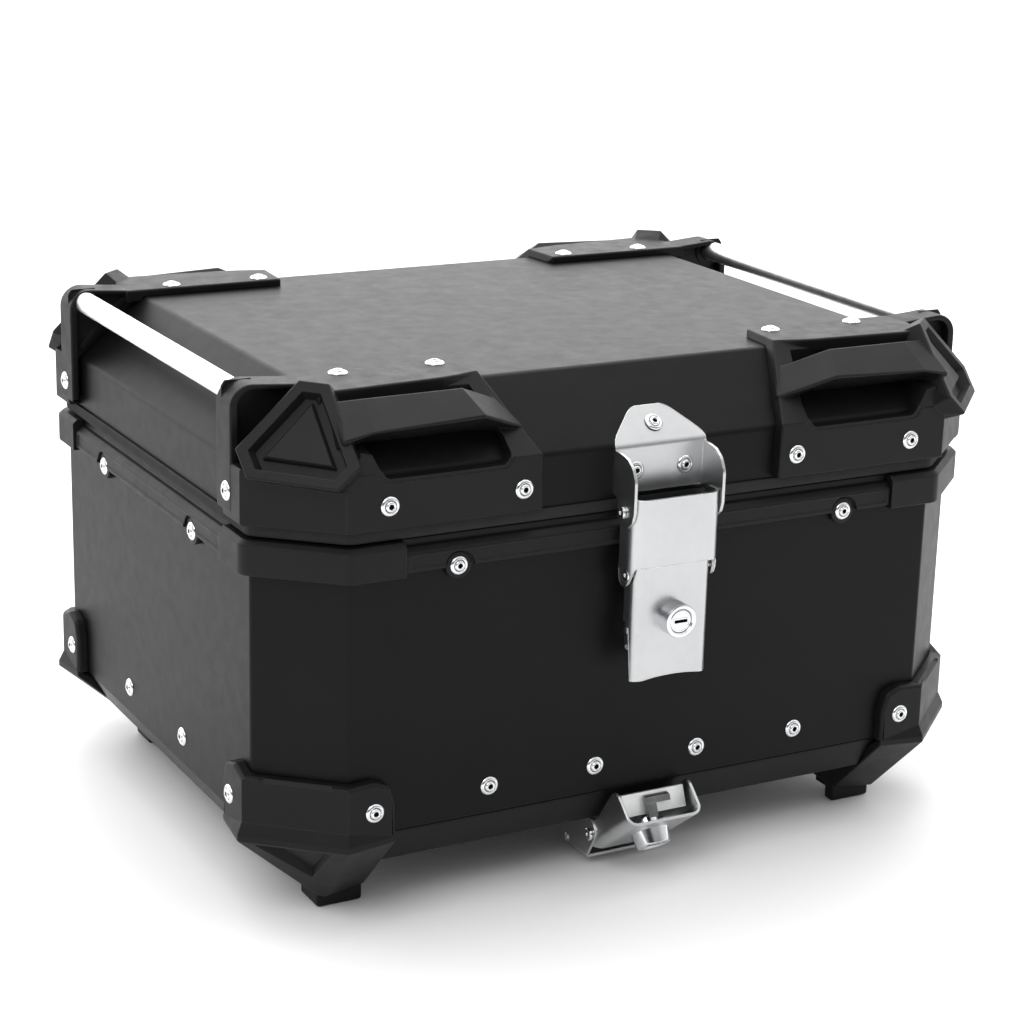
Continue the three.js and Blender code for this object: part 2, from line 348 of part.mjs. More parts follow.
// base bracket on the body: wall plate, two ears and the stub pins the lever hooks on
const baseEar = [[wallY, 104], [wallY, 134], [-178, 132], [-185, 122], [-185.6, 117], [-184, 113.5], [-178, 108]];
let base = join(box(-17, 17, wallY - T, wallY, 102, 142), alongX(baseEar, -17, -15.2), alongX(baseEar, 15.2, 17),
  rod(2, [-23.6, BASE_PIN_Y, BASE_PIN_Z], [1, 0, 0], 7.5, 12), rod(2, [16.1, BASE_PIN_Y, BASE_PIN_Z], [1, 0, 0], 7.5, 12));
base = cut(base, box(-5.5, 5.5, -180, -160, 115, 131));
base = join(base, baseRivets.map(([p, n]) => rivet(move(p, n, GAP + T), n, 3.8, 3.6)));
piece('latch_base', base, ...STEEL);

// ---------------------------------------------------------------- quick release under the front edge
const mountEar = [[-122, -GAP], [-122, -18.5], [-124.4, -23], [-129.5, -25], [-151.5, -25], [-156, -17], [-161.2, -8.5], [-161.5, -5.5], [-158.5, -2.4], [-155, -GAP]];
let mount = join(box(-24, 24, -154.5, -122, -2.1, PAD - GAP), box(-24, 24, -151.5, -124.5, -25, -23), alongX(mountEar, -24, -22.2), alongX(mountEar, 22.2, 24));
mount = cut(mount, rod(2.4, [-40, PIV_Y, PIV_Z], [1, 0, 0], 80, 10));
mount = join(mount, rivet([-24, -131, -20.5], [-1, 0, 0], 2.2, 3), rivet([24, -131, -20.5], [1, 0, 0], 2.2, 3));
piece('mount_bracket', mount, ...STEEL);
const snoutSide = [[-181.4, 23.2], [-194.2, 11.9], [-159, -15.6], [-153.6, -15], [-150.8, -10.5], [-151.4, -6.6], [-154.6, -4.6], [-162.5, 4.5], [-173.4, 20], [-176.5, 23.2]];
const snoutInner = [[-181, 40], [-192.6, 12.9], [-158.6, -13.6], [-140, -20], [-140, 40]];
let snout = join(cut(alongX(snoutSide, -21.5, 21.5), alongX(snoutInner, -19.7, 19.7)));
snout = cut(snout, rod(2.5, [-40, PIV_Y, PIV_Z], [1, 0, 0], 80, 10));
const FN = [0, -0.614, -0.789];                                       // outward normal of the lower face
const LC = [0, -177.2, -1.4];                                         // lock centre on the lower face
snout = cut(snout, rod(8.3, move(LC, FN, -8), FN, 14, 16));
piece('release_lever', snout, ...STEEL);
piece('release_pivot_pin', turned(headedPin(2.1, 24.3, 3.6), [0, PIV_Y, PIV_Z], [1, 0, 0], 10), ...STEEL);
piece('release_catch', join(alongX([[-180.5, 20], [-184.2, 17.6], [-183, 12.6], [-176, 12.2], [-173.8, 15.5], [-176, 20.5]], -6, 6), rod(2, [-19.3, -178, 16], [1, 0, 0], 38.6, 8)), ...STEEL);
piece('release_lock_barrel', cut(turned([[0, -7], [7.7, -7], [7.7, 0.4], [10.6, 0.45], [10.6, 2], [9.2, 9], [8.4, 9.8], [0, 9.8]], LC, FN, 16), rod(6.4, move(LC, FN, -20), FN, 40, 16)), ...CHROME);
let plug2 = turned([[0, -8.5], [5.9, -8.5], [5.9, 9.2], [0, 9.2]], LC, FN, 16);
const slotBox = new THREE.BoxGeometry(8.6, 1.8, 8);
slotBox.applyQuaternion(new THREE.Quaternion().setFromUnitVectors(new THREE.Vector3(0, 0, 1), new THREE.Vector3(...FN)));
slotBox.translate(...move(LC, FN, 9.5));
plug2 = cut(plug2, solid(slotBox));
piece('release_lock_plug', plug2, ...CHROME);
// torsion spring round the pivot
class Helix extends THREE.Curve {
  getPoint(t, out = new THREE.Vector3()) { const a = 2 * Math.PI * 3.5 * t; return out.set(-5 + 10 * t, PIV_Y + 4.2 * Math.cos(a), PIV_Z + 4.2 * Math.sin(a)); }
}
const wire = new THREE.Shape(ringXY(0.7, 4, 0, 0).map(p => new THREE.Vector2(...p)));
piece('release_spring', solid(new THREE.ExtrudeGeometry(wire, { extrudePath: new Helix(), steps: 30, bevelEnabled: false })), ...STEEL);

export default group;
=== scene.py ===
import math
import bpy
import bmesh
import numpy as np
from mathutils import Matrix, Vector


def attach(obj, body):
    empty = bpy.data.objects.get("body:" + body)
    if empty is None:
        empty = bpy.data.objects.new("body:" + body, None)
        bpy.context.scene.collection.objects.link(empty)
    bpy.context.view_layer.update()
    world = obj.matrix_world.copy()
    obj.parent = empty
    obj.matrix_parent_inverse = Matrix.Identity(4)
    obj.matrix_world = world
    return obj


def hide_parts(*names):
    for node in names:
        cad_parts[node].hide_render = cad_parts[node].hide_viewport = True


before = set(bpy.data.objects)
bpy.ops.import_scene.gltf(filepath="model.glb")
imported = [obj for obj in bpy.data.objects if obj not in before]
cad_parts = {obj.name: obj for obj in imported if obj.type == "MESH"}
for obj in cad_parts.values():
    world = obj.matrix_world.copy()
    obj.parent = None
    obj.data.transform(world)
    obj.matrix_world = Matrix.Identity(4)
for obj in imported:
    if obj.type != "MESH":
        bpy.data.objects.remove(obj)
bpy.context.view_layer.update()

SC = bpy.context.scene

# Geometry is written in millimetres in the row frame and turned into metres when a piece is finished.
HX, HY, CHX, CHY = 215.0, 171.0, 38.7, 34.2
WALL, GAP = 1.8, 0.3
BEVEL, BEVEL_TOP, PAD = 13.5, 23.5, 1.2
WRAP_TOP = 175.0
TRIM_LOW, TRIM_OUT = 163.0, 4.8
CORNER_LOW, CORNER_TOP, CORNER_OUT = 161.2, 179.3, 6.3
RIM_TOP = 179.5
STRIP_X, CORNER_X, STRIP_Y, CORNER_Y = 147.4, 148.0, 110.9, 111.5
LID_LOW, LID_CREASE, LID_TOP, LID_INSET = 184.0, 214.5, 248.7, 37.75
GUARD, GUARD_LOW, FLANGE_TOP, FIN_TOP, FIN_X = 6.3, 187.0, 252.9, 255.8, 221.5
FOOT_Z = -30.0
HINGE_Y, HINGE_Z, HINGE_X = 181.0, 183.5, 42.0
PIN1 = (-182.3, 182.1)
PIN2 = (-185.4, 148.9)
BASE_PIN = (-182.5, 117.5)
LOCK_Z = 124.5
PIV = (-155.3, -9.1)
TUBE_X, TUBE_Z, TUBE_R, TUBE_HALF = 212.0, 247.7, 6.0, 119.4
GX, GY = HX + GUARD, HY + GUARD
RISE = (LID_TOP - LID_CREASE) / LID_INSET


# ------------------------------------------------------------------ mesh tools
def raw(verts, faces, mats=None):
    me = bpy.data.meshes.new("tmp")
    me.from_pydata([tuple(float(c) for c in v) for v in verts], [], [tuple(f) for f in faces])
    if mats is not None:
        me.polygons.foreach_set("material_index", mats)
    bm = bmesh.new()
    bm.from_mesh(me)
    bmesh.ops.remove_doubles(bm, verts=bm.verts, dist=2e-4)
    bmesh.ops.recalc_face_normals(bm, faces=bm.faces)
    bm.to_mesh(me)
    bm.free()
    return link(me)


def link(me):
    o = bpy.data.objects.new("tmp", me)
    SC.collection.objects.link(o)
    return o


def hull_bm(points, flat):
    seen, pts = set(), []
    for p in points:
        k = tuple(round(c, 3) for c in p)
        if k not in seen:
            seen.add(k)
            pts.append(p)
    bm = bmesh.new()
    vs = [bm.verts.new(tuple(p)) for p in pts]
    bmesh.ops.convex_hull(bm, input=vs, use_existing_faces=False)
    bmesh.ops.delete(bm, geom=[v for v in bm.verts if not v.link_faces], context="VERTS")
    bmesh.ops.dissolve_limit(bm, angle_limit=math.radians(flat), use_dissolve_boundaries=False, verts=bm.verts[:], edges=bm.edges[:], delimit=set())
    bm.normal_update()
    return bm


def hull(points):
    bm = hull_bm(points, 0.3)
    me = bpy.data.meshes.new("tmp")
    bm.to_mesh(me)
    bm.free()
    return link(me)


def rhull(points, r=1.0, seg=3):
    """A convex solid whose edges and corners are rounded to radius r, inside the hull of the points."""
    bm = hull_bm(points, 1.0)
    new, inner = [], {}
    for v in bm.verts:
        ns = []
        for f in v.link_faces:
            if all(f.normal.dot(m) < 0.9995 for m in ns):
                ns.append(f.normal.copy())
        a = np.array([list(n) for n in ns])
        x = np.linalg.lstsq(a, np.full(len(ns), r), rcond=None)[0]
        if np.linalg.norm(x) > 4 * r:
            x = x * 4 * r / np.linalg.norm(x)
        inner[v.index] = None
        c = Vector(v.co) - Vector(x)
        inner[v] = c
        for n in ns:
            new.append(c + n * r)
        s = sum(ns, Vector((0, 0, 0)))
        if s.length > 1e-6:
            new.append(c + s.normalized() * r)
    for e in bm.edges:
        if len(e.link_faces) != 2:
            continue
        n1, n2 = e.link_faces[0].normal, e.link_faces[1].normal
        for k in range(1, seg):
            n = n1.slerp(n2, k / seg) if n1.dot(n2) > -0.99 else n1
            for v in e.verts:
                new.append(inner[v] + n.normalized() * r)
    bm.free()
    return hull([tuple(p) for p in new])


def arcs(pts, r=0.0, seg=4):
    """A polygon (u, v[, radius]) with its corners rounded."""
    out, n = [], len(pts)
    for i, p in enumerate(pts):
        rr = p[2] if len(p) > 2 else r
        P, A, B = np.array(p[:2], float), np.array(pts[i - 1][:2], float), np.array(pts[(i + 1) % n][:2], float)
        if rr <= 0:
            out.append(tuple(P))
            continue
        la, lb = np.linalg.norm(A - P), np.linalg.norm(B - P)
        u, v = (A - P) / la, (B - P) / lb
        ang = math.acos(max(-1, min(1, float(u @ v))))
        if ang > math.pi - 1e-3:
            out.append(tuple(P))
            continue
        t = min(rr / math.tan(ang / 2), 0.49 * la, 0.49 * lb)
        rr = t * math.tan(ang / 2)
        c = P + (u + v) / np.linalg.norm(u + v) * rr / math.sin(ang / 2)
        s, e = P + u * t - c, P + v * t - c
        a0 = math.atan2(s[1], s[0])
        d = (math.atan2(e[1], e[0]) - a0 + math.pi) % (2 * math.pi) - math.pi
        for k in range(seg + 1):
            a = a0 + d * k / seg
            out.append((c[0] + rr * math.cos(a), c[1] + rr * math.sin(a)))
    return out


def area2(p):
    return sum(p[i - 1][0] * p[i][1] - p[i][0] * p[i - 1][1] for i in range(len(p)))


def inset(pts, d):
    n = len(pts)
    sgn = 1 if area2(pts) > 0 else -1
    out = []
    for i in range(n):
        P, A, B = np.array(pts[i]), np.array(pts[i - 1]), np.array(pts[(i + 1) % n])
        e1, e2 = P - A, B - P
        l1, l2 = np.linalg.norm(e1), np.linalg.norm(e2)
        if l1 < 1e-9:
            e1, l1 = e2, l2
        if l2 < 1e-9:
            e2, l2 = e1, l1
        n1 = np.array([-e1[1], e1[0]]) / l1 * sgn
        n2 = np.array([-e2[1], e2[0]]) / l2 * sgn
        m = n1 + n2
        q = max(float(m @ m) / 2, 0.35)
        out.append(tuple(P + m * d / q))
    return out


AX = {
    "x": lambda u, v, w: (w, u, v),
    "y": lambda u, v, w: (u, w, v),
    "z": lambda u, v, w: (u, v, w),
}


def plate(pts, a, b, axis="z", bev=0.4, bs=2, r=0.0, seg=4, bev2=None):
    """A polygon extruded from a to b along an axis, with rounded rims."""
    M = AX[axis] if isinstance(axis, str) else axis
    pts = arcs(pts, r, seg)
    n = len(pts)
    bev2 = bev if bev2 is None else bev2
    rings = []
    s = 1 if b > a else -1
    for k in range(bs + 1):
        t = math.pi / 2 * k / bs
        rings.append((bev * (1 - math.sin(t)), a + s * bev * (1 - math.cos(t))))
    for k in range(bs, -1, -1):
        t = math.pi / 2 * k / bs
        rings.append((bev2 * (1 - math.sin(t)), b - s * bev2 * (1 - math.cos(t))))
    verts, faces = [], []
    for d, w in rings:
        verts += [M(p[0], p[1], w) for p in (inset(pts, d) if d > 1e-9 else pts)]
    for k in range(len(rings) - 1):
        for i in range(n):
            j = (i + 1) % n
            faces.append((k * n + i, k * n + j, (k + 1) * n + j, (k + 1) * n + i))
    faces.append(tuple(range(n)))
    faces.append(tuple(range((len(rings) - 1) * n, len(rings) * n)))
    return raw(verts, faces)


def stack(rings, closed=False, mats=None):
    """Rings of equal count joined in order; capped at both ends, or closed into a loop."""
    n = len(rings[0])
    verts = [p for r in rings for p in r]
    faces = []
    m = len(rings)
    for k in range(m if closed else m - 1):
        k2 = (k + 1) % m
        for i in range(n):
            j = (i + 1) % n
            faces.append((k * n + i, k * n + j, k2 * n + j, k2 * n + i))
    if not closed:
        faces.append(tuple(range(n)))
        faces.append(tuple(range((m - 1) * n, m * n)))
    return raw(verts, faces, mats)


def basis(direction):
    z = Vector(direction).normalized()
    x = Vector((1, 0, 0)) if abs(z.x) < 0.9 else Vector((0, 1, 0))
    x = (x - z * x.dot(z)).normalized()
    y = z.cross(x)
    return x, y, z


def lathe_data(profile, n, mats=None):
    verts, faces, fm = [], [], []
    for r, h in profile:
        for i in range(n):
            a = 2 * math.pi * i / n
            verts.append((r * math.cos(a), r * math.sin(a), h))
    for k in range(len(profile) - 1):
        (r0, _), (r1, _) = profile[k], profile[k + 1]
        if r0 < 1e-9 and r1 < 1e-9:
            continue
        for i in range(n):
            j = (i + 1) % n
            if r0 < 1e-9:
                faces.append((k * n, (k + 1) * n + j, (k + 1) * n + i))
            elif r1 < 1e-9:
                faces.append((k * n + i, k * n + j, (k + 1) * n))
            else:
                faces.append((k * n + i, k * n + j, (k + 1) * n + j, (k + 1) * n + i))
            fm.append(mats[k] if mats else 0)
    return verts, faces, fm


def lathe(profile, at, direction, n=32, mats=None):
    verts, faces, fm = lathe_data(profile, n, mats)
    x, y, z = basis(direction)
    at = Vector(at)
    verts = [tuple(at + x * v[0] + y * v[1] + z * v[2]) for v in verts]
    return raw(verts, faces, fm)


def rod(r, at, direction, length, n=32, bev=0.0):
    if bev:
        prof = [(0, 0), (r - bev, 0), (r - 0.3 * bev, 0.3 * bev), (r, bev), (r, length - bev), (r - 0.3 * bev, length - 0.3 * bev), (r - bev, length), (0, length)]
    else:
        prof = [(0, 0), (r, 0), (r, length), (0, length)]
    return lathe(prof, at, direction, n)


def boo(a, b, op, keep=False):
    m = a.modifiers.new("b", "BOOLEAN")
    m.operation = op
    m.solver = "MANIFOLD"
    m.object = b
    dg = bpy.context.evaluated_depsgraph_get()
    me = bpy.data.meshes.new_from_object(a.evaluated_get(dg), depsgraph=dg)
    a.modifiers.clear()
    old = a.data
    a.data = me
    bpy.data.meshes.remove(old)
    if not keep:
        old = b.data
        bpy.data.objects.remove(b)
        bpy.data.meshes.remove(old)
    if not len(me.polygons):
        raise RuntimeError("empty boolean result: " + op)
    return a


def join(a, *rest):
    for b in rest:
        boo(a, b, "UNION")
    return a


def cut(a, *rest, keep=False):
    for b in rest:
        boo(a, b, "DIFFERENCE", keep)
    return a


def common(a, b, keep=False):
    return boo(a, b, "INTERSECT", keep)


def box(x0, x1, y0, y1, z0, z1):
    return plate([(x0, y0), (x1, y0), (x1, y1), (x0, y1)], z0, z1, "z", bev=0.0001, bs=1)


def copy(o, mx=False, my=False):
    me = o.data.copy()
    me.transform(Matrix.Diagonal((-1 if mx else 1, -1 if my else 1, 1, 1)))
    if mx != my:
        me.flip_normals()
    return link(me)


def drop(*objs):
    for o in objs:
        me = o.data
        bpy.data.objects.remove(o)
        bpy.data.meshes.remove(me)


def octr(o, r=3.0, seg=5):
    """The eight-sided outline of the box moved out by o, with rounded corners."""
    d = -o
    hx, hy, cx, cy = HX - d, HY - d, CHX - 0.622 * d, CHY - 0.55 * d
    pts = [(hx, hy - cy), (hx - cx, hy), (cx - hx, hy), (-hx, hy - cy), (-hx, cy - hy), (cx - hx, -hy), (hx - cx, -hy), (hx, cy - hy)]
    return arcs(pts, max(r + o, 0.5), seg)


def oct8(o, z):
    d = -o
    hx, hy, cx, cy = HX - d, HY - d, CHX - 0.622 * d, CHY - 0.55 * d
    return [(a, b, z) for a, b in [(hx, hy - cy), (hx - cx, hy), (cx - hx, hy), (-hx, hy - cy), (-hx, cy - hy), (cx - hx, -hy), (hx - cx, -hy), (hx, cy - hy)]]


def prism(o, z0, z1):
    return hull(oct8(o, z0) + oct8(o, z1))


def rings_of(profile, r=3.0, seg=5, fixed=False):
    """Rings round the box for (offset, z) points."""
    out = []
    for p in profile:
        pts = octr(p[0], (r - p[0]) if fixed else r, seg)
        out.append([(a, b, p[1]) for a, b in pts])
    return out


def fillet_open(pts, seg=4):
    """An open polyline (u, v[, radius]) with its inner corners rounded."""
    if len(pts) < 3:
        return [tuple(p[:2]) for p in pts]
    out = [tuple(pts[0][:2])]
    for i in range(1, len(pts) - 1):
        tri = [pts[i - 1][:2], pts[i], pts[i + 1][:2]]
        rr = pts[i][2] if len(pts[i]) > 2 else 0
        if rr <= 0:
            out.append(tuple(pts[i][:2]))
            continue
        P, A, B = (np.array(q[:2], float) for q in (pts[i], pts[i - 1], pts[i + 1]))
        la, lb = np.linalg.norm(A - P), np.linalg.norm(B - P)
        u, v = (A - P) / la, (B - P) / lb
        ang = math.acos(max(-1, min(1, float(u @ v))))
        t = min(rr / math.tan(ang / 2), 0.49 * la, 0.49 * lb)
        rr = t * math.tan(ang / 2)
        c = P + (u + v) / np.linalg.norm(u + v) * rr / math.sin(ang / 2)
        s, e = P + u * t - c, P + v * t - c
        a0 = math.atan2(s[1], s[0])
        d = (math.atan2(e[1], e[0]) - a0 + math.pi) % (2 * math.pi) - math.pi
        for k in range(seg + 1):
            a = a0 + d * k / seg
            out.append((c[0] + rr * math.cos(a), c[1] + rr * math.sin(a)))
    out.append(tuple(pts[-1][:2]))
    return out


def dense(path, step):
    out = [path[0]]
    for a, b in zip(path, path[1:]):
        n = max(1, int(math.ceil(math.dist(a, b) / step)))
        for k in range(1, n + 1):
            out.append((a[0] + (b[0] - a[0]) * k / n, a[1] + (b[1] - a[1]) * k / n))
    return out


def bent(path, t, lo, hi, M, b=0.22):
    """A bent sheet: a path in (u, v), thickness t to its left, from lo to hi along the third axis."""
    pts = [np.array(p, float) for p in path]
    n = len(pts)
    verts, faces = [], []
    for i in range(n):
        e = []
        if i > 0:
            e.append((pts[i] - pts[i - 1]) / np.linalg.norm(pts[i] - pts[i - 1]))
        if i < n - 1:
            e.append((pts[i + 1] - pts[i]) / np.linalg.norm(pts[i + 1] - pts[i]))
        ns = [np.array([-q[1], q[0]]) for q in e]
        m = sum(ns)
        m = m / max(float(m @ ns[0]), 0.3)
        l, h = lo(*pts[i]), hi(*pts[i])
        for d, w in [(0, l + b), (0, h - b), (b, h), (t - b, h), (t, h - b), (t, l + b), (t - b, l), (b, l)]:
            p = pts[i] + m * d
            verts.append(M(p[0], p[1], w))
    for i in range(n - 1):
        for k in range(8):
            j = (k + 1) % 8
            faces.append((i * 8 + k, i * 8 + j, (i + 1) * 8 + j, (i + 1) * 8 + k))
    faces.append(tuple(range(8)))
    faces.append(tuple(range((n - 1) * 8, n * 8)))
    return raw(verts, faces)


def interp(xs, ys):
    return lambda v: float(np.interp(v, xs, ys))


# ------------------------------------------------------------------ materials
class Nodes:
    def __init__(self, name):
        self.m = bpy.data.materials.new(name)
        self.m.use_nodes = True
        self.t = self.m.node_tree
        self.t.nodes.clear()
        self.out = self.t.nodes.new("ShaderNodeOutputMaterial")
        self.p = self.t.nodes.new("ShaderNodeBsdfPrincipled")
        self.t.links.new(self.p.outputs[0], self.out.inputs[0])
        self.tc = self.t.nodes.new("ShaderNodeTexCoord")
        self.geo = self.t.nodes.new("ShaderNodeNewGeometry")

    def new(self, kind, **kw):
        n = self.t.nodes.new(kind)
        for k, v in kw.items():
            setattr(n, k, v)
        return n

    def link(self, a, b):
        self.t.links.new(a, b)

    def noise(self, scale, detail=2.0, rough=0.5, stretch=None, vec=None):
        n = self.new("ShaderNodeTexNoise")
        n.inputs["Scale"].default_value = scale
        n.inputs["Detail"].default_value = detail
        n.inputs["Roughness"].default_value = rough
        src = vec or self.tc.outputs["Object"]
        if stretch:
            mp = self.new("ShaderNodeMapping")
            mp.inputs["Scale"].default_value = stretch
            self.link(src, mp.inputs["Vector"])
            src = mp.outputs[0]
        self.link(src, n.inputs["Vector"])
        return n.outputs["Fac"]

    def remap(self, src, a, b, c, d, clamp=True):
        n = self.new("ShaderNodeMapRange", clamp=clamp)
        n.inputs[1].default_value, n.inputs[2].default_value = a, b
        n.inputs[3].default_value, n.inputs[4].default_value = c, d
        self.link(src, n.inputs[0])
        return n.outputs[0]

    def math(self, op, a, b=None):
        n = self.new("ShaderNodeMath", operation=op)
        for i, v in enumerate((a, b)):
            if v is None:
                continue
            if isinstance(v, (int, float)):
                n.inputs[i].default_value = v
            else:
                self.link(v, n.inputs[i])
        return n.outputs[0]

    def mix(self, fac, a, b):
        n = self.new("ShaderNodeMix", data_type="RGBA")
        for i, v in ((0, fac), (6, a), (7, b)):
            if isinstance(v, (int, float)):
                n.inputs[i].default_value = v
            elif isinstance(v, tuple):
                n.inputs[i].default_value = (*v, 1.0) if len(v) == 3 else v
            else:
                self.link(v, n.inputs[i])
        return n.outputs[2]


def surface(name, base, base2, rough, metal=0.0, spec=0.5, grain=(900, 0.15, 0.0001), grain2=None, var_scale=14.0, rough_var=0.06,
            edge=None, edge_r=0.0006, stretch=None, dust=0.0, coat=0.0, view=None):
    """A procedural material: colour variation, grain bump, roughness variation and lighter edges that are partly wear
    and partly a painted highlight along the rims.
    """
    n = Nodes(name)
    p = n.p
    v1 = n.noise(var_scale, 4.0, 0.55)
    v2 = n.noise(var_scale * 7, 3.0, 0.6)
    col = n.mix(n.remap(n.math("ADD", n.math("MULTIPLY", v1, 0.6), n.math("MULTIPLY", v2, 0.4)), 0.35, 0.65, 0.0, 1.0), base, base2)
    rr = n.remap(v2, 0.3, 0.7, rough - rough_var, rough + rough_var)
    # grain
    g = n.noise(grain[0], 2.0, 0.6, stretch)
    bump = n.new("ShaderNodeBump")
    bump.inputs["Strength"].default_value = grain[1]
    bump.inputs["Distance"].default_value = grain[2]
    n.link(g, bump.inputs["Height"])
    last = bump
    if grain2:
        g2 = n.noise(grain2[0], 3.0, 0.5, stretch)
        b2 = n.new("ShaderNodeBump")
        b2.inputs["Strength"].default_value = grain2[1]
        b2.inputs["Distance"].default_value = grain2[2]
        n.link(g2, b2.inputs["Height"])
        n.link(b2.outputs[0], bump.inputs["Normal"])
        last = b2
    # Painted highlight, partly wear: faces near edges, found from the bevel normal, get a lighter colour broken up by
    # noise. This stands for both rubbed rims and the highlight a rounded rim would catch.
    if edge is not None:
        bev = n.new("ShaderNodeBevel", samples=4)
        bev.inputs["Radius"].default_value = edge_r
        n.link(bev.outputs[0], last.inputs["Normal"])
        dot = n.new("ShaderNodeVectorMath", operation="DOT_PRODUCT")
        n.link(bev.outputs[0], dot.inputs[0])
        n.link(n.geo.outputs["Normal"], dot.inputs[1])
        e = n.remap(dot.outputs["Value"], 0.995, 0.90, 0.0, 1.0)
        wn = n.remap(n.noise(170, 3.0, 0.6), 0.35, 0.6, 0.35, 1.0)
        e = n.math("MULTIPLY", e, wn)
        e = n.math("MULTIPLY", e, edge[1])
        col = n.mix(e, col, edge[0])
        if len(edge) > 2:
            mr = n.new("ShaderNodeMix", data_type="FLOAT")
            n.link(e, mr.inputs[0])
            n.link(rr, mr.inputs[2])
            mr.inputs[3].default_value = edge[2]
            rr = mr.outputs[0]
    if dust > 0:
        up = n.new("ShaderNodeSeparateXYZ")
        n.link(n.geo.outputs["Normal"], up.inputs[0])
        f = n.math("MULTIPLY", n.remap(up.outputs["Z"], 0.2, 1.0, 0.0, 1.0), n.remap(n.noise(60, 5.0, 0.7), 0.45, 0.8, 0.0, dust))
        col = n.mix(f, col, (0.25, 0.245, 0.235))
    n.link(col, p.inputs["Base Color"])
    n.link(rr, p.inputs["Roughness"])
    n.link(bump.outputs[0], p.inputs["Normal"])
    p.inputs["Metallic"].default_value = metal
    p.inputs["Specular IOR Level"].default_value = spec
    if coat:
        p.inputs["Coat Weight"].default_value = coat
        p.inputs["Coat Roughness"].default_value = 0.15
    n.m.diffuse_color = (*base, 1)
    return n.m


# The edge colours below are lighter rims, partly wear and partly a painted highlight.
PAINT = surface("paint", (0.0030, 0.0031, 0.0034), (0.0045, 0.0046, 0.0049), 0.41, spec=0.12, grain=(1500, 0.28, 0.00012), grain2=(260, 0.05, 0.0002), rough_var=0.03,
                edge=((0.02, 0.02, 0.021), 0.6), edge_r=0.0008, dust=0.012)
PLASTIC = surface("plastic", (0.0050, 0.0051, 0.0053), (0.0070, 0.0071, 0.0074), 0.46, spec=0.17, grain=(1900, 0.25, 0.00012), grain2=(420, 0.06, 0.0002), rough_var=0.05,
                  edge=((0.035, 0.035, 0.037), 0.75, 0.36), edge_r=0.0007, dust=0.02)
RUBBER = surface("rubber_black", (0.006, 0.006, 0.0062), (0.010, 0.010, 0.0103), 0.62, spec=0.3, grain=(1200, 0.3, 0.00015), rough_var=0.06, edge=((0.02, 0.02, 0.02), 0.5))
MAT = surface("mat_rubber", (0.01, 0.01, 0.0105), (0.018, 0.018, 0.0185), 0.7, spec=0.3, grain=(500, 0.5, 0.0004), rough_var=0.05)
STEEL = surface("steel_satin", (0.47, 0.475, 0.48), (0.52, 0.525, 0.53), 0.31, metal=1.0, grain=(1700, 0.35, 0.00008), grain2=(300, 0.05, 0.0001), rough_var=0.025,
                edge=((0.92, 0.92, 0.93), 0.9, 0.16), edge_r=0.0005, var_scale=22)
ZINC = surface("steel_plain", (0.42, 0.425, 0.43), (0.55, 0.555, 0.56), 0.36, metal=1.0, grain=(700, 0.25, 0.0001), rough_var=0.08, edge=((0.85, 0.85, 0.86), 0.7, 0.2), var_scale=30)
ALU = surface("aluminium_tube", (0.90, 0.905, 0.91), (0.96, 0.962, 0.965), 0.38, metal=1.0, grain=(900, 0.2, 0.00005), stretch=(1, 0.04, 1), rough_var=0.05, var_scale=25)
CHROME = surface("chrome", (0.62, 0.63, 0.65), (0.72, 0.73, 0.75), 0.12, metal=1.0, grain=(600, 0.03, 0.00003), rough_var=0.04, edge=((0.95, 0.95, 0.96), 0.6, 0.08), edge_r=0.0003, var_scale=60)
RIVET = surface("rivet_steel", (0.66, 0.67, 0.68), (0.8, 0.81, 0.82), 0.2, metal=1.0, grain=(900, 0.12, 0.00006), rough_var=0.07, edge=((0.95, 0.95, 0.96), 0.6, 0.1), edge_r=0.0002, var_scale=120)
BRIGHT = surface("zinc_bright", (0.86, 0.865, 0.87), (0.97, 0.972, 0.975), 0.5, metal=1.0, grain=(1200, 0.5, 0.00015), rough_var=0.06, var_scale=120)
GUNMETAL = surface("steel_dark", (0.16, 0.162, 0.165), (0.24, 0.242, 0.245), 0.38, metal=1.0, grain=(900, 0.2, 0.0001), rough_var=0.05, edge=((0.6, 0.6, 0.61), 0.6, 0.25), edge_r=0.0003, var_scale=80)
# Painted shade: a near-black material put in rivet holes, in the rivet groove and deep in key slots, standing for the
# shade there.
PAINTED_SHADE = surface("hole_painted_shade", (0.004, 0.004, 0.004), (0.009, 0.009, 0.009), 0.6, spec=0.2, grain=(800, 0.2, 0.0001))

BUILT = []


def done(o, name, body, mats, replaces=(), sharp=38, tidy=True):
    """Finishes a piece: metres, smooth faces with sharp creases, material, body."""
    me = o.data
    me.transform(Matrix.Scale(0.001, 4))
    if tidy:
        bm = bmesh.new()
        bm.from_mesh(me)
        bmesh.ops.remove_doubles(bm, verts=bm.verts, dist=4e-6)
        bmesh.ops.dissolve_degenerate(bm, dist=2e-6, edges=bm.edges[:])
        bm.to_mesh(me)
        bm.free()
    me.shade_smooth()
    me.set_sharp_from_angle(angle=math.radians(sharp))
    idx = [p.material_index for p in me.polygons]
    me.materials.clear()
    for m in mats if isinstance(mats, (list, tuple)) else [mats]:
        me.materials.append(m)
    me.polygons.foreach_set("material_index", idx)
    w = o.modifiers.new("wn", "WEIGHTED_NORMAL")
    w.keep_sharp = True
    w.weight = 60
    o.name = name
    me.name = name
    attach(o, body)
    if replaces:
        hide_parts(*replaces)
    BUILT.append(o)
    return o


RIVET_PROFILE = [(0, 0.2), (1.2, 0.25), (1.3, 1.75), (1.6, 2.05), (2.05, 2.1), (2.5, 1.9), (2.8, 1.5), (2.95, 0.95), (3.25, 0.85), (3.45, 1.2), (3.8, 1.3), (4.4, 1.08), (4.9, 0.7), (5.15, 0.35), (5.2, 0.1), (5.1, 0.0), (1.9, 0.0)]


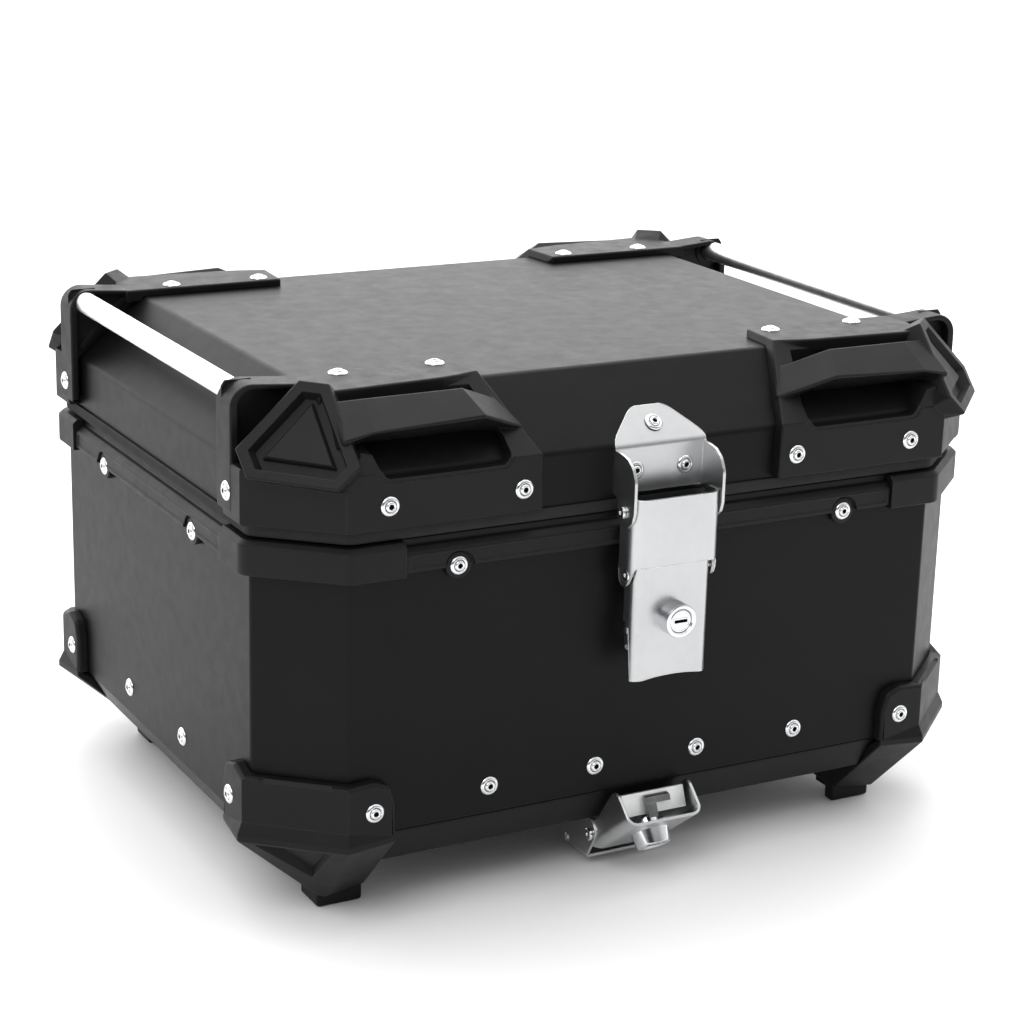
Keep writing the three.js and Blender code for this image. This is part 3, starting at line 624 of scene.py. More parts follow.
def rivets(name, places, body, r=5.2, shank=6.0):
    """Dome-headed rivets: places are (point on the surface, outward direction)."""
    k = r / 5.2
    prof = [(a * k, b * k) for a, b in RIVET_PROFILE] + [(1.9 * k, -shank), (1.5 * k, -shank - 0.5), (0, -shank - 0.5)]
    # Painted shade: the centre hole (first two profile faces) and the groove round the boss (face 7) take the dark
    # material.
    mats = [1, 1] + [0] * (len(prof) - 3)
    mats[7] = 1
    vs, fs, ms = [], [], []
    dv, df, dm = lathe_data(prof, 28, mats)
    for at, d in places:
        x, y, z = basis(d)
        at = Vector(at)
        o = len(vs)
        vs += [tuple(at + x * v[0] + y * v[1] + z * v[2]) for v in dv]
        fs += [tuple(i + o for i in f) for f in df]
        ms += dm
    return done(raw(vs, fs, ms), name, body, [RIVET, PAINTED_SHADE], sharp=50)

# ------------------------------------------------------------------ body shell
lo_rivets, trim_rivets, foot_rivets = [], [], []
for s in (-1, 1):
    for x in (-95.5, -31.8, 31.8, 95.5):
        lo_rivets.append(((x, s * HY, 38.5), (0, s, 0)))
    for y in (-41, 41):
        lo_rivets.append(((s * HX, y, 38.5), (s, 0, 0)))
    for x in (-117.4, 117.4):
        trim_rivets.append(((x, s * HY, 163.2), (0, s, 0)))
    for y in (-67, 67):
        trim_rivets.append(((s * HX, y, 163.2), (s, 0, 0)))


def off(p, d, k):
    return tuple(a + b * k for a, b in zip(p, d))


prof = [(0, 23.8), (0, 174.6), (-0.4, 175.0), (-1.4, 175.0), (-1.8, 174.6), (-1.8, 23.8), (-1.4, 23.4), (-0.4, 23.4)]
wrap = stack(rings_of(prof, 3.2, 6), closed=True)
done(wrap, "body_shell", "body", PAINT, ["body_wrapper"])

pan_prof = [(-15.6, 1.2), (-14.4, 1.3), (-13.4, 1.8), (-12.7, 2.6), (-1.1, 21.6), (-0.75, 22.3), (-0.8, 22.75), (-1.3, 23.0), (-2.1, 23.1), (-2.1, 45.7), (-2.4, 46.0), (-3.6, 46.0), (-3.9, 45.7), (-3.9, 23.2), (-14.6, 4.0), (-16.2, 3.0)]
pan = stack(rings_of(pan_prof, 3.4, 6))
pad = plate([(-150, -108), (150, -108), (150, 108), (-150, 108)], 0.0, 2.2, "z", bev=1.2, bs=3, r=14, seg=6, bev2=0.01)
ribs = [plate([(x - 7, -86), (x + 7, -86), (x + 7, 86), (x - 7, 86)], -3, 0.9, "z", bev=0.01, bs=2, r=6.9, seg=6, bev2=0.8) for x in (-112, -56, 56, 112)]
pan = join(pan, pad)
pan = cut(pan, *ribs)
done(pan, "floor_pan_sheet", "body", PAINT, ["floor_pan"])
rivets("floor_pan_rivets", [(off(p, d, 0.05), d) for p, d in lo_rivets], "body", shank=4.6)

mat_o = plate(octr(-17.5, 12.0, 5), 3.35, 6.2, "z", bev=0.6, bs=3)
for x in range(-168, 169, 24):
    mat_o = cut(mat_o, plate([(x - 1.2, -132), (x + 1.2, -132), (x + 1.2, 132), (x - 1.2, 132)], 5.4, 8, "z", bev=0.01, bs=1, r=1.1, seg=2))
done(mat_o, "floor_mat_sheet", "body", MAT, ["floor_mat"])

# ------------------------------------------------------------------ edge trim
strip_profile = arcs([(GAP, TRIM_LOW, 0.2), (TRIM_OUT, TRIM_LOW, 0.7), (TRIM_OUT, 172.9, 2.2), (1.4, 175.6, 1.0), (-0.7, 176.3, 0.8), (-0.9, RIM_TOP, 0.7), (-3.6, RIM_TOP, 0.7), (-4.4, 175.5, 0.8),
                      (-4.4, TRIM_LOW, 0.3), (-(WALL + 0.2), TRIM_LOW, 0.2), (-(WALL + 0.2), WRAP_TOP + 0.25, 0), (0.2, WRAP_TOP + 0.25, 0)], seg=3)


def strip(face, half, name, node):
    fx, fy = face
    if fy:
        o = plate([(fy * (HY + a), b) for a, b in strip_profile], -half, half, "x", bev=0.25, bs=2)
        panel = plate([(-half + 2.4, TRIM_LOW + 2.0), (half - 2.4, TRIM_LOW + 2.0), (half - 2.4, 171.6), (-half + 2.4, 171.6)], fy * (HY + TRIM_OUT - 0.55), fy * (HY + 12), "y", bev=0.3, bs=2, r=1.2, seg=3)
    else:
        o = plate([(fx * (HX + a), b) for a, b in strip_profile], -half, half, lambda u, v, w: (u, w, v), bev=0.25, bs=2)
        panel = plate([(-half + 2.4, TRIM_LOW + 2.0), (half - 2.4, TRIM_LOW + 2.0), (half - 2.4, 171.6), (-half + 2.4, 171.6)], fx * (HX + TRIM_OUT - 0.55), fx * (HX + 12), lambda u, v, w: (w, u, v), bev=0.3, bs=2, r=1.2, seg=3)
    o = cut(o, panel)
    places = [(p, d) for p, d in trim_rivets if d[0] == fx and d[1] == fy]
    for p, d in places:
        ringo = lathe([(0, 0), (8.5, 0), (8.5, 8), (0, 8)], off(p, d, 2.5), d, 48)
        o = cut(o, ringo)
        lobe = lathe([(0, 0), (7.0, 0), (7.3, 0.3), (7.3, 2.2), (7.0, 2.75), (6.4, 3.0), (0, 3.0)], off(p, d, 0.25), d, 48)
        o = join(o, lobe)
    done(o, name, "body", PLASTIC, [node])
    return [(off(p, d, 3.2), d) for p, d in places]


tr = strip((0, -1), STRIP_X, "edge_trim_front", "trim_front") + strip((0, 1), STRIP_X, "edge_trim_back", "trim_back")
tr += strip((-1, 0), STRIP_Y, "edge_trim_left", "trim_left") + strip((1, 0), STRIP_Y, "edge_trim_right", "trim_right")
rivets("edge_trim_rivets", tr, "body", r=5.0, shank=7.5)

corner_prof = arcs([(GAP, CORNER_LOW, 0.2), (CORNER_OUT, CORNER_LOW, 0.8), (CORNER_OUT, 176.9, 0.9), (3.6, CORNER_TOP, 0.8), (-4.4, CORNER_TOP, 0.8), (-4.4, CORNER_LOW, 0.3),
                    (-(WALL + 0.2), CORNER_LOW, 0.1), (-(WALL + 0.2), WRAP_TOP + 0.25, 0), (0.2, WRAP_TOP + 0.25, 0)], seg=3)
full = stack(rings_of(corner_prof, 3.2, 6), closed=True)
zone = join(box(-HX - 10, -CORNER_X, -HY - 10, -HY + 34, 150, 200), box(-HX - 10, -HX + 39, -HY - 10, -CORNER_Y, 150, 200))
corner = common(full, zone)
for (mx, my, nm) in ((False, False, "front_left"), (True, False, "front_right"), (False, True, "back_left"), (True, True, "back_right")):
    done(copy(corner, mx, my), "edge_trim_corner_" + nm, "body", PLASTIC, ["trim_corner_" + nm])
drop(corner)

# ------------------------------------------------------------------ foot guards
bodyover = hull(oct8(-(BEVEL - 0.25), PAD - 0.25) + oct8(0.22, BEVEL_TOP - 0.2) + oct8(0.22, WRAP_TOP))


def corner_pts(d):
    q = oct8(d, 0)
    return q[4], q[5]


ga, gb = corner_pts(GUARD)
ra, rb = corner_pts(9.3)
na, nb = corner_pts(7.0)
side = plate([(-113.9, 22.6, 1.5), (-113.9, 44.5, 5), (-117.2, 54.2, 5), (-128.6, 57.6, 5), (-139.8, 53.4, 0), (-146, 53.4, 0), (-146, 22.6, 0)], -200, -GX, "x", bev=0.2, bs=4, bev2=2.3, seg=5)
front = plate([(-185, 22.6, 0), (-185, 53.4, 0), (-178.6, 53.4, 0), (-164, 54.6, 5), (-155.2, 51.2, 5), (-152, 41, 5), (-152, 22.6, 1.5)], -150, -GY, "y", bev=0.2, bs=4, bev2=2.3, seg=5)
side = common(side, prism(GUARD, 0, 300))
front = common(front, prism(GUARD, 0, 300))
mid = rhull([(ga[0], ga[1], 22.5), (gb[0], gb[1], 22.5), (ga[0], ga[1], 51.2), (gb[0], gb[1], 51.2), (ga[0] + 2.2, ga[1] + 0.6, 53.7), (gb[0] + 0.6, gb[1] + 2.4, 53.7),
             (-190, -120, 22.5), (-160, -150, 22.5), (-190, -120, 53.7), (-160, -150, 53.7)], 0.5, 2)
low = rhull([(ga[0], ga[1], 29.3), (gb[0], gb[1], 29.3), (ra[0], ra[1], 22.6), (rb[0], rb[1], 22.6), (ra[0], ra[1], 19.4), (rb[0], rb[1], 19.4),
             (-178.0, -138.5, -21.5), (-175.5, -141.2, -21.5), (-151.5, -137.6, -20.0), (-176.6, -114.2, -20.0), (-151.5, -114.2, -20.0),
             (-152.2, -GY, 20.5), (-152.2, -GY, 24.0), (-GX, -114.2, 20.5), (-GX, -114.2, 24.0)], 0.9, 3)
block = join(rhull([(a, b, c) for a in (-177.5, -151.5) for b in (-128.0, -136.0) for c in (-12.0, FOOT_Z)], 1.7, 4),
             rhull([(a, b, c) for a in (-177.5, -169.5) for b in (-113.9, -136.0) for c in (-12.0, FOOT_Z)], 1.7, 4),
             box(-170.5, -154.0, -129.0, -116.0, -24.0, -12.0))
# recessed triangle in the lower facet
nf = Vector((-0.5261, -0.5953, -0.6074))
tri = [Vector(p) for p in ((-218.5, -145.1, 19.1), (-184.5, -174.7, 18.6), (-185.5, -148.5, -6.2))]
tri = [q + nf * 0.2 for q in tri]
ctr = sum(tri, Vector()) / 3
pit = []
for q in tri:
    pit.append(q + (q - ctr) * 0.10 + nf * 3.0)
    pit.append(q + (ctr - q) * 0.05)
    pit.append(q + (ctr - q) * 0.26 - nf * 3.6)
pitcut = rhull([tuple(q) for q in pit], 0.3, 2)
foot = join(low, mid, side, front, block)
foot = cut(foot, pitcut)
foot = cut(foot, bodyover, keep=True)
fr_places = []
for (mx, my, nm) in ((False, False, "front_left"), (True, False, "front_right"), (False, True, "back_left"), (True, True, "back_right")):
    done(copy(foot, mx, my), "corner_foot_" + nm, "body", PLASTIC, ["foot_guard_" + nm])
    sx, sy = (1 if mx else -1), (1 if my else -1)
    fr_places += [((sx * 164.2, sy * GY, 38.1), (0, sy, 0)), ((sx * GX, sy * 123, 38.1), (sx, 0, 0))]
drop(foot, bodyover)
rivets("foot_guard_rivets", fr_places, "body", shank=10.5)

# ------------------------------------------------------------------ lid shell
ang = math.atan2(LID_TOP - LID_CREASE, LID_INSET)


def roundprof(pts, seg=4):
    return fillet_open(pts, seg)


outer = roundprof([(0, LID_LOW + 0.4), (0, LID_CREASE, 4.5), (-LID_INSET, LID_TOP, 5.0), (-60, LID_TOP)], 5)
inner = roundprof([(-60, LID_TOP - WALL), (-(LID_INSET + 0.9), LID_TOP - WALL, 3.5), (-WALL, LID_CREASE - 0.7, 3.0), (-WALL, LID_LOW + 0.4)], 5)
lid = stack(rings_of(inner + [(-WALL + 0.4, LID_LOW), (-0.4, LID_LOW)] + outer, 3.2, 6, fixed=True))
done(lid, "lid_sheet", "lid", PAINT, ["lid_shell"])

# seal with fine cross ribs
base = octr(0, 6.5, 10)
per = [np.array(p) for p in base]
samples = []
nP = len(per)
seglen = [np.linalg.norm(per[(i + 1) % nP] - per[i]) for i in range(nP)]
total = sum(seglen)
count = int(total / 1.15) // 2 * 2
sgn = 1 if area2(base) > 0 else -1
cum = np.concatenate([[0], np.cumsum(seglen)])
vn = []
for i in range(nP):
    e1, e2 = per[i] - per[i - 1], per[(i + 1) % nP] - per[i]
    a1, a2 = np.array([e1[1], -e1[0]]) / np.linalg.norm(e1) * sgn, np.array([e2[1], -e2[0]]) / np.linalg.norm(e2) * sgn
    m = a1 + a2
    vn.append(m / max(float(m @ m) / 2, 0.5))
for k in range(count):
    s = total * k / count
    i = int(np.searchsorted(cum, s, side="right") - 1) % nP
    f = (s - cum[i]) / seglen[i]
    samples.append((per[i] * (1 - f) + per[(i + 1) % nP] * f, vn[i] * (1 - f) + vn[(i + 1) % nP] * f))
seal_prof = [(1.2, 180.5, 0), (1.75, 181.0, 1), (1.95, 182.6, 1), (1.75, 185.6, 1), (1.2, 186.4, 0), (0.24, 186.4, 0), (0.24, 183.78, 0), (-2.02, 183.78, 0), (-2.02, 186.4, 0), (-4.0, 186.4, 0), (-4.4, 186.0, 0), (-4.4, 180.9, 0), (-4.0, 180.5, 0)]
seal_rings = []
for o_, z_, ribbed in seal_prof:
    seal_rings.append([(*(p + q * (o_ - (0.55 if (ribbed and k % 2) else 0.0))), z_) for k, (p, q) in enumerate(samples)])
seal = stack(seal_rings, closed=True)
done(seal, "lid_seal_strip", "lid", RUBBER, ["lid_seal"], sharp=60)

# ------------------------------------------------------------------ lid guards
lidover = hull(oct8(0.22, LID_LOW - 3) + oct8(0.22, LID_CREASE + 0.1) + oct8(-(LID_INSET - 0.25), LID_TOP + 0.22))
BN = Vector((-0.5686, -0.5970, 0.5659))
BP = [Vector(p) for p in ((-189.8, -140.1, 258.0), (-178.7, -151.1, 257.6), (-179.2, -174.6, 232.5), (-177.2, -185.1, 223.5), (-188.8, -184.3, 212.7), (-222.4, -150.9, 214.1), (-223.3, -138.5, 226.1))]
ga3, gb3 = ga, gb
Z0 = GUARD_LOW
skirt = rhull([(gb[0] - 2, -GY, Z0), (-71.6, -GY, Z0), (-71.6, -160, Z0), (gb[0] - 2, -160, Z0),
               (-72.4, -GY, 216.9), (gb[0] - 2, -GY, 216.9), (-90.2, -138.3, FLANGE_TOP), (-92.4, -109.2, FLANGE_TOP), (-92.4, -109.2, 236), (-71.6, -160, 200),
               (-176, -138.3, FLANGE_TOP), (-176, -109.2, FLANGE_TOP), (-176, -109.2, 236)], 1.1, 3)
hand_xz = [(-159.0, 213.3, 4.5), (-93.6, 213.3, 4.5), (-89.6, 218.5, 4.0), (-90.2, 226.0, 4), (-97.5, 246.6, 3), (-104.0, 262.0, 0), (-160.5, 262.0, 0), (-161.0, 246.0, 2), (-168.5, 228.0, 3)]
hand = plate(hand_xz, -200, -143.6, "y", bev=0.05, bs=1, seg=5)
guard = cut(skirt, hand)
flange = plate([(-188, -109.2, 0), (-92.4, -109.2, 1.5), (-90.2, -138.3, 1), (-104, -142.4, 3), (-112, -144.0, 3), (-160, -147.6, 3), (-183, -149.0, 0), (-188, -127.5, 0)], 246.4, FLANGE_TOP, "z", bev=0.2, bs=3, bev2=1.3, seg=4)
corner_wall = rhull([(ga[0], ga[1], Z0), (gb[0], gb[1], Z0), (ga[0], ga[1], 210.6), (gb[0], gb[1], 210.6), (-190, -120, Z0), (-160, -150, Z0), (-190, -120, 213), (-160, -150, 213), (ga[0] + 3, ga[1] - 0.5, 213), (gb[0] - 0.5, gb[1] + 3, 213)], 1.0, 3)
side_lobe = plate([(-146, Z0, 0), (-117, Z0, 1), (-117, 216, 1), (-146, 216, 0)], -190, -GX, "x", bev=0.1, bs=3, bev2=1.2)
side_lobe = common(side_lobe, prism(GUARD, 100, 300))
corner_fill = hull([(-214, -136, 209), (-184, -170, 209), (-190, -120, 205), (-165, -145, 205), (-208, -130, 222), (-180, -158, 222)])
fin_out = [(-FIN_X, 190.5, 0.5), (-FIN_X, FIN_TOP, 11.5), (-186, FLANGE_TOP, 3), (-150, FLANGE_TOP, 0), (-150, 190.5, 0)]
fin_web = plate(fin_out, -122.4, -116.0, "y", bev=1.1, bs=3, bev2=1.1, seg=7)
fin_rim = plate([(-FIN_X, 190.5, 0.3), (-FIN_X, FIN_TOP, 11.5), (-186, FLANGE_TOP, 3), (-180, FLANGE_TOP - 0.1, 0), (-180, FLANGE_TOP - 2.6, 0), (-186, FLANGE_TOP - 2.5, 3), (-FIN_X + 4.6, FIN_TOP - 3.4, 8), (-FIN_X + 4.2, 190.5, 0.3)], -110.0, -128.6, "y", bev=1.0, bs=3, bev2=1.0, seg=7)
badge_back = [(-184, -133, 252), (-172, -143.5, 252), (-168, -160, 228), (-168, -170, 212), (-178, -168, 205), (-208, -134, 205), (-213, -125, 222)]
badge = rhull([tuple(p) for p in BP] + badge_back, 1.1, 3)
butt = rhull([(-176, -176.8, 210), (-159.4, -176.8, 210), (-159.4, -165, 210), (-176, -162, 210), (-167.0, -176.8, 226.6), (-173.5, -176.8, 228.0), (-168.5, -160, 230), (-175, -160, 230), (-160.5, -176.8, 214.5)], 0.8, 2)
bc = sum(BP, Vector()) / 7


def on_badge(q, d):
    """The point where the line from the lens through q meets the badge plane sunk by d."""
    eye = Vector((-668.463, -1231.525, 553.879))
    dr = (q - eye).normalized()
    return eye + dr * ((BP[0] - BN * d - eye).dot(BN) / dr.dot(BN))


bin_ = [p.copy() for p in BP]
for k in range(7):
    e1, e2 = (BP[k] - BP[k - 1]).normalized(), (BP[(k + 1) % 7] - BP[k]).normalized()
    n1, n2 = BN.cross(e1), BN.cross(e2)
    if n1.dot(bc - BP[k]) < 0:
        n1 = -n1
    if n2.dot(bc - BP[k]) < 0:
        n2 = -n2
    mm = n1 + n2
    bin_[k] = BP[k] + mm * (5.2 / max(mm.dot(n1), 0.5))
i_tri = [on_badge(Vector(p), 3.6) for p in ((-187.6, -151.5, 248.5), (-213.4, -150.7, 223.3), (-186.9, -177.2, 222.0))]
ic = sum(i_tri, Vector()) / 3
pit_o = [tuple(q + BN * 3 + (q - bc) * 0.03) for q in bin_] + [tuple(q + (bc - q) * 0.10 - BN * 5.4) for q in bin_]
badge_pit = rhull(pit_o, 0.4, 2)
badge = cut(badge, badge_pit)
step = rhull([tuple(q + (q - ic) * 0.05 - BN * 6) for q in i_tri] + [tuple(q + (q - ic) * 0.02) for q in i_tri] + [tuple(q + (ic - q) * 0.09 + BN * 1.5) for q in i_tri], 0.3, 2)
badge = join(badge, step)
GU = [(-180.0, -155.0, 249.1), (-163, -158.5, 250.2), (-111, -161.5, 251.3), (-86.8, -150.6, 241.2), (-84.0, -148.6, 239.7)]
GL = [(-182.0, -176.0, 234.0), (-165.5, -176, 237.67), (-105, -178, 240), (-79.2, -166.2, 229.3), (-76.8, -164.6, 228.2)]
gback = [(a, b + 6.5, c - 4.5) for a, b, c in GU] + [(a, b + 8.5, c - 8.0) for a, b, c in GL]
grip = rhull([*GU[:1], *GU[1:], *GL, *gback], 1.3, 4)
arch = [(-184.0, -176.0, 233.4), (-165.5, -176.0, 237.5), (-105.0, -178.0, 239.8), (-78.0, -166.0, 228.6), (-70.0, -166.0, 225.0)]
under = hull([(a, -200.0, c - 0.5 + 0.55 * (200 + b)) for a, b, c in arch] + [(a, -148.0, c - 0.5 - 0.55 * (-148 - b)) for a, b, c in arch]
             + [(a, b, 170.0) for a in (-184.0, -70.0) for b in (-200.0, -148.0)])
grip = cut(grip, under)
guard = join(guard, flange, corner_wall, side_lobe, corner_fill, fin_web, badge, fin_rim, butt, grip)
# a shallow lip round the hand opening
lip = cut(plate(arcs([(-161.2, 211.2, 6), (-92.6, 211.2, 6), (-86.8, 217.6, 6), (-87.6, 226, 2), (-171.5, 226, 2)], seg=6), -179, -176.75, "y", bev=0.01, bs=1), box(-200, -60, -200, -170, 224, 240))
guard = cut(guard, lip)
guard = cut(guard, lidover, keep=True)
guard = cut(guard, rod(TUBE_R + 0.5, (-TUBE_X, -100, TUBE_Z), (0, -1, 0), 19.8, 32))
# rail collar and web rib on the inner side of the fin
collar = cut(lathe([(0, 0), (9.6, 0), (9.9, 0.4), (9.9, 1.2), (0, 1.2)], (-TUBE_X, -116.2, TUBE_Z), (0, 1, 0), 40), rod(TUBE_R + 0.5, (-TUBE_X, -100, TUBE_Z), (0, -1, 0), 19.8, 32))
collar = common(collar, box(-FIN_X + 0.6, -190, -125, -110, 230, FIN_TOP - 0.8))
guard = join(guard, collar)
rib = plate([(-215.5, 222.0), (-213.2, 220.0), (-184.0, 249.4), (-186.4, 251.4)], -117, -113.8, "y", bev=0.3, bs=2)
guard = join(guard, rib)
guard = cut(guard, rod(TUBE_R + 0.5, (-TUBE_X, -100, TUBE_Z), (0, -1, 0), 19.8, 32))
lr = []
for (mx, my, nm) in ((False, False, "front_left"), (True, False, "front_right"), (False, True, "back_left"), (True, True, "back_right")):
    done(copy(guard, mx, my), "lid_corner_guard_" + nm, "lid", PLASTIC, ["lid_guard_" + nm])
    sx, sy = (1 if mx else -1), (1 if my else -1)
    lr += [((sx * 157.6, sy * GY, 199.7), (0, sy, 0)), ((sx * 82.8, sy * GY, 199.7), (0, sy, 0)), ((sx * GX, sy * 122.5, 200.5), (sx, 0, 0)),
           ((sx * 158, sy * 116, FLANGE_TOP), (0, 0, 1)), ((sx * 103.5, sy * 116, FLANGE_TOP), (0, 0, 1))]
drop(guard, lidover)
rivets("lid_guard_rivets", [(off(p, d, 0.03), d) for p, d in lr], "lid", shank=9.5)

for s, nm in ((-1, "left"), (1, "right")):
    t = lathe([(4.8, 0), (5.7, 0), (6.0, 0.3), (6.0, 238.5), (5.7, 238.8), (4.8, 238.8), (4.8, 0)], (s * TUBE_X, -TUBE_HALF, TUBE_Z), (0, 1, 0), 48)
    done(t, "rail_tube_" + nm, "lid", ALU, ["rail_" + nm])

# ------------------------------------------------------------------ rear hinges
Y0 = HY + 0.25
for s, side_nm in ((-1, "left"), (1, "right")):
    x = s * HINGE_X
    YZ = lambda u, v, w: (w, u, v)
    path = dense(fillet_open([(Y0 + 1.9, 132.0), (Y0 + 1.9, 159.6, 2.5), (178.6, 163.4, 2.5), (178.6, 178.5)], 5), 3.0)
    w_of = interp([132.0, 133.2, 135.5, 139, 200], [16.5, 19.4, 21.4, 22.0, 22.0])
    leaf = bent(path, 1.9, lambda u, v: x - w_of(v), lambda u, v: x + w_of(v), YZ, 0.25)
    web = plate([(176.7, 174), (178.6, 174), (181.5, 180.0), (HINGE_Y, HINGE_Z), (178.0, HINGE_Z), (176.7, 180)], x - 22, x + 22, "x", bev=0.2, bs=1)
    body_k = join(leaf, web, rod(4.0, (x - 22, HINGE_Y, HINGE_Z), (1, 0, 0), 44, 32, 0.4))
    body_k = cut(body_k, box(x - 8.25, x + 8.25, 160, 200, 178.0, 200), rod(2.35, (x - 40, HINGE_Y, HINGE_Z), (1, 0, 0), 80, 24))
    done(body_k, "hinge_leaf_body_" + side_nm, "body", ZINC, ["hinge_body_" + side_nm])
    up = dense(fillet_open([(179.2, 187.2), (174.6, 190.4, 1.5), (Y0 + 1.9, 193.2, 2.0), (Y0 + 1.9, 213.6)], 4), 3.0)
    w_up = interp([187, 189.2, 190.6, 210.5, 212.6, 213.6], [7.7, 7.7, 22.0, 22.0, 21.0, 18.5])
    lidleaf = bent(up, 1.9, lambda u, v: x - w_up(v), lambda u, v: x + w_up(v), YZ, 0.25)
    tongue = plate([(Y0 + 1.0, 190.8), (176.4, 186.2), (178.2, HINGE_Z), (HINGE_Y, HINGE_Z), (HINGE_Y, HINGE_Z + 4), (Y0 + 2.6, 192.6)], x - 7.7, x + 7.7, "x", bev=0.25, bs=1)
    lid_k = join(lidleaf, tongue, rod(4.0, (x - 7.7, HINGE_Y, HINGE_Z), (1, 0, 0), 15.4, 32, 0.4))
    lid_k = cut(lid_k, rod(2.35, (x - 40, HINGE_Y, HINGE_Z), (1, 0, 0), 80, 24))
    done(lid_k, "hinge_leaf_lid_" + side_nm, "lid", ZINC, ["hinge_lid_" + side_nm])
    pin = lathe([(0, -24.5), (2.6, -24.5), (3.2, -24.2), (3.4, -23.6), (3.4, -22.8), (3.2, -22.4), (2.1, -22.4), (2.1, 23.4), (1.6, 24.0), (0, 24.0)], (x, HINGE_Y, HINGE_Z), (1, 0, 0), 28)
    done(pin, "hinge_rod_" + side_nm, "body", ZINC, ["hinge_pin_" + side_nm])
    rivets("hinge_body_rivets_" + side_nm, [((x + dx, Y0 + 1.9, 145.0), (0, 1, 0)) for dx in (-14, 14)], "body", r=4.4, shank=5)
    rivets("hinge_lid_rivets_" + side_nm, [((x + dx, Y0 + 1.9, 203.0), (0, 1, 0)) for dx in (-14, 14)], "lid", r=4.4, shank=5)

# ------------------------------------------------------------------ latch
T = 1.7
WY = -HY - 0.25
SN = (0.0, -math.sin(math.atan2(LID_TOP - LID_CREASE, LID_INSET)), math.cos(math.atan2(LID_TOP - LID_CREASE, LID_INSET)))


def slope_y(z):
    return -HY + (z - LID_CREASE) / RISE


YZ = lambda u, v, w: (w, u, v)
tab_top = 229.0
p0 = (WY - T, 189.0)
crease = (WY - T, 214.2, 4.2)
top_pt = (slope_y(tab_top) + SN[1] * (0.25 + T), tab_top + SN[2] * (0.25 + T))
path = dense(fillet_open([p0, crease, top_pt], 7), 0.8)


def hw(u, v):
    return float(np.interp(v, [189, 190.0, 214.2, 215.5, 217.0, 219.0, 222.2, 226.6, 228.6, 229.8, 230.4], [26.2, 27.4, 27.4, 27.2, 26.4, 24.6, 20.6, 15.0, 12.4, 9.8, 7.8]))


bracket = bent(path, -T, lambda u, v: -hw(u, v), lambda u, v: hw(u, v), YZ, 0.25)
ear = [(WY, 212.6, 0.3), (-178.0, 212.3, 3), (-184.5, 211.2, 6), (-190.0, 207.4, 6), (-193.3, 201.0, 7), (-193.3, 184.0, 5), (-191.6, 178.6, 4), (-187.2, 174.6, 4), (-182.0, 173.8, 4), (-177.8, 176.2, 3), (-176.6, 180.4, 3), (-176.6, 187.5, 2.5), (WY, 189.2, 0.3)]
el = plate([(p[0], p[1], p[2]) for p in ear], -27.4, -27.4 + T, "x", bev=0.28, bs=2, seg=5)
er = plate([(p[0], p[1], p[2]) for p in ear], 27.4 - T, 27.4, "x", bev=0.28, bs=2, seg=5)
bracket = join(bracket, el, er)
bracket = cut(bracket, rod(2.35, (-40, PIN1[0], PIN1[1]), (1, 0, 0), 80, 24))
done(bracket, "latch_catch_bracket", "lid", STEEL, ["catch_bracket"])
rivets("latch_catch_rivets", [((-15, WY - T, 200.8), (0, -1, 0)), ((15, WY - T, 200.8), (0, -1, 0)),
                              ((0, slope_y(221.5) + SN[1] * (0.25 + T), 221.5 + SN[2] * (0.25 + T)), SN)], "lid", r=5.0, shank=5.0)
HEAD = lambda r, half, head: [(0, -half - 1.5), (head - 0.6, -half - 1.5), (head - 0.1, -half - 1.1), (head, -half - 0.6), (head, -half - 0.02), (r, -half), (r, half), (head, half + 0.02), (head, half + 0.6), (head - 0.1, half + 1.1), (head - 0.6, half + 1.5), (1.1, half + 1.5), (0.9, half + 0.9), (0, half + 0.9)]
done(lathe(HEAD(2.15, 27.55, 3.6), (0, *PIN1), (-1, 0, 0), 32), "latch_catch_pin", "lid", RIVET, ["catch_pin"])

XY = lambda u, v, w: (u, v, w)


def channel_path(half, frontY, backY, r, step=1.0):
    return dense(fillet_open([(-half, backY), (-half, frontY, r), (half, frontY, r), (half, backY)], 8), step)


s_lo = interp([-193.0, -190.8, -189.7, -188.6, -187.5, -186.0, -184.0, -182.0, -180.2, -179.2, -178.6], [154.0, 153.6, 151.0, 147.6, 144.9, 143.0, 142.2, 142.6, 144.4, 147.0, 151.0])
s_hi = interp([-193.0, -181.2, -179.8, -178.6], [190.5, 190.5, 189.4, 187.0])
sleeve = bent(channel_path(25.0, -193.0, -178.6, 7.0), -1.6, lambda u, v: s_lo(v), lambda u, v: s_hi(v), XY, 0.25)
sleeve = cut(sleeve, rod(2.35, (-40, PIN1[0], PIN1[1]), (1, 0, 0), 80, 24), rod(2.3, (-40, PIN2[0], PIN2[1]), (1, 0, 0), 80, 24))
done(sleeve, "latch_sleeve_sheet", "latch_sleeve", STEEL, ["latch_sleeve"])
done(lathe(HEAD(2.1, 25.15, 3.5), (0, *PIN2), (-1, 0, 0), 32), "latch_sleeve_pin", "latch_sleeve", RIVET, ["sleeve_pin"])

l_side = interp([-186.3, -185.9, -183.0, -180.0], [90.8, 118.8, 121.3, 122.5])


def l_lo(u, v):
    if v > -186.3:
        return l_side(v)
    return 92.9 - 2.1 * (u / 21.5) ** 2


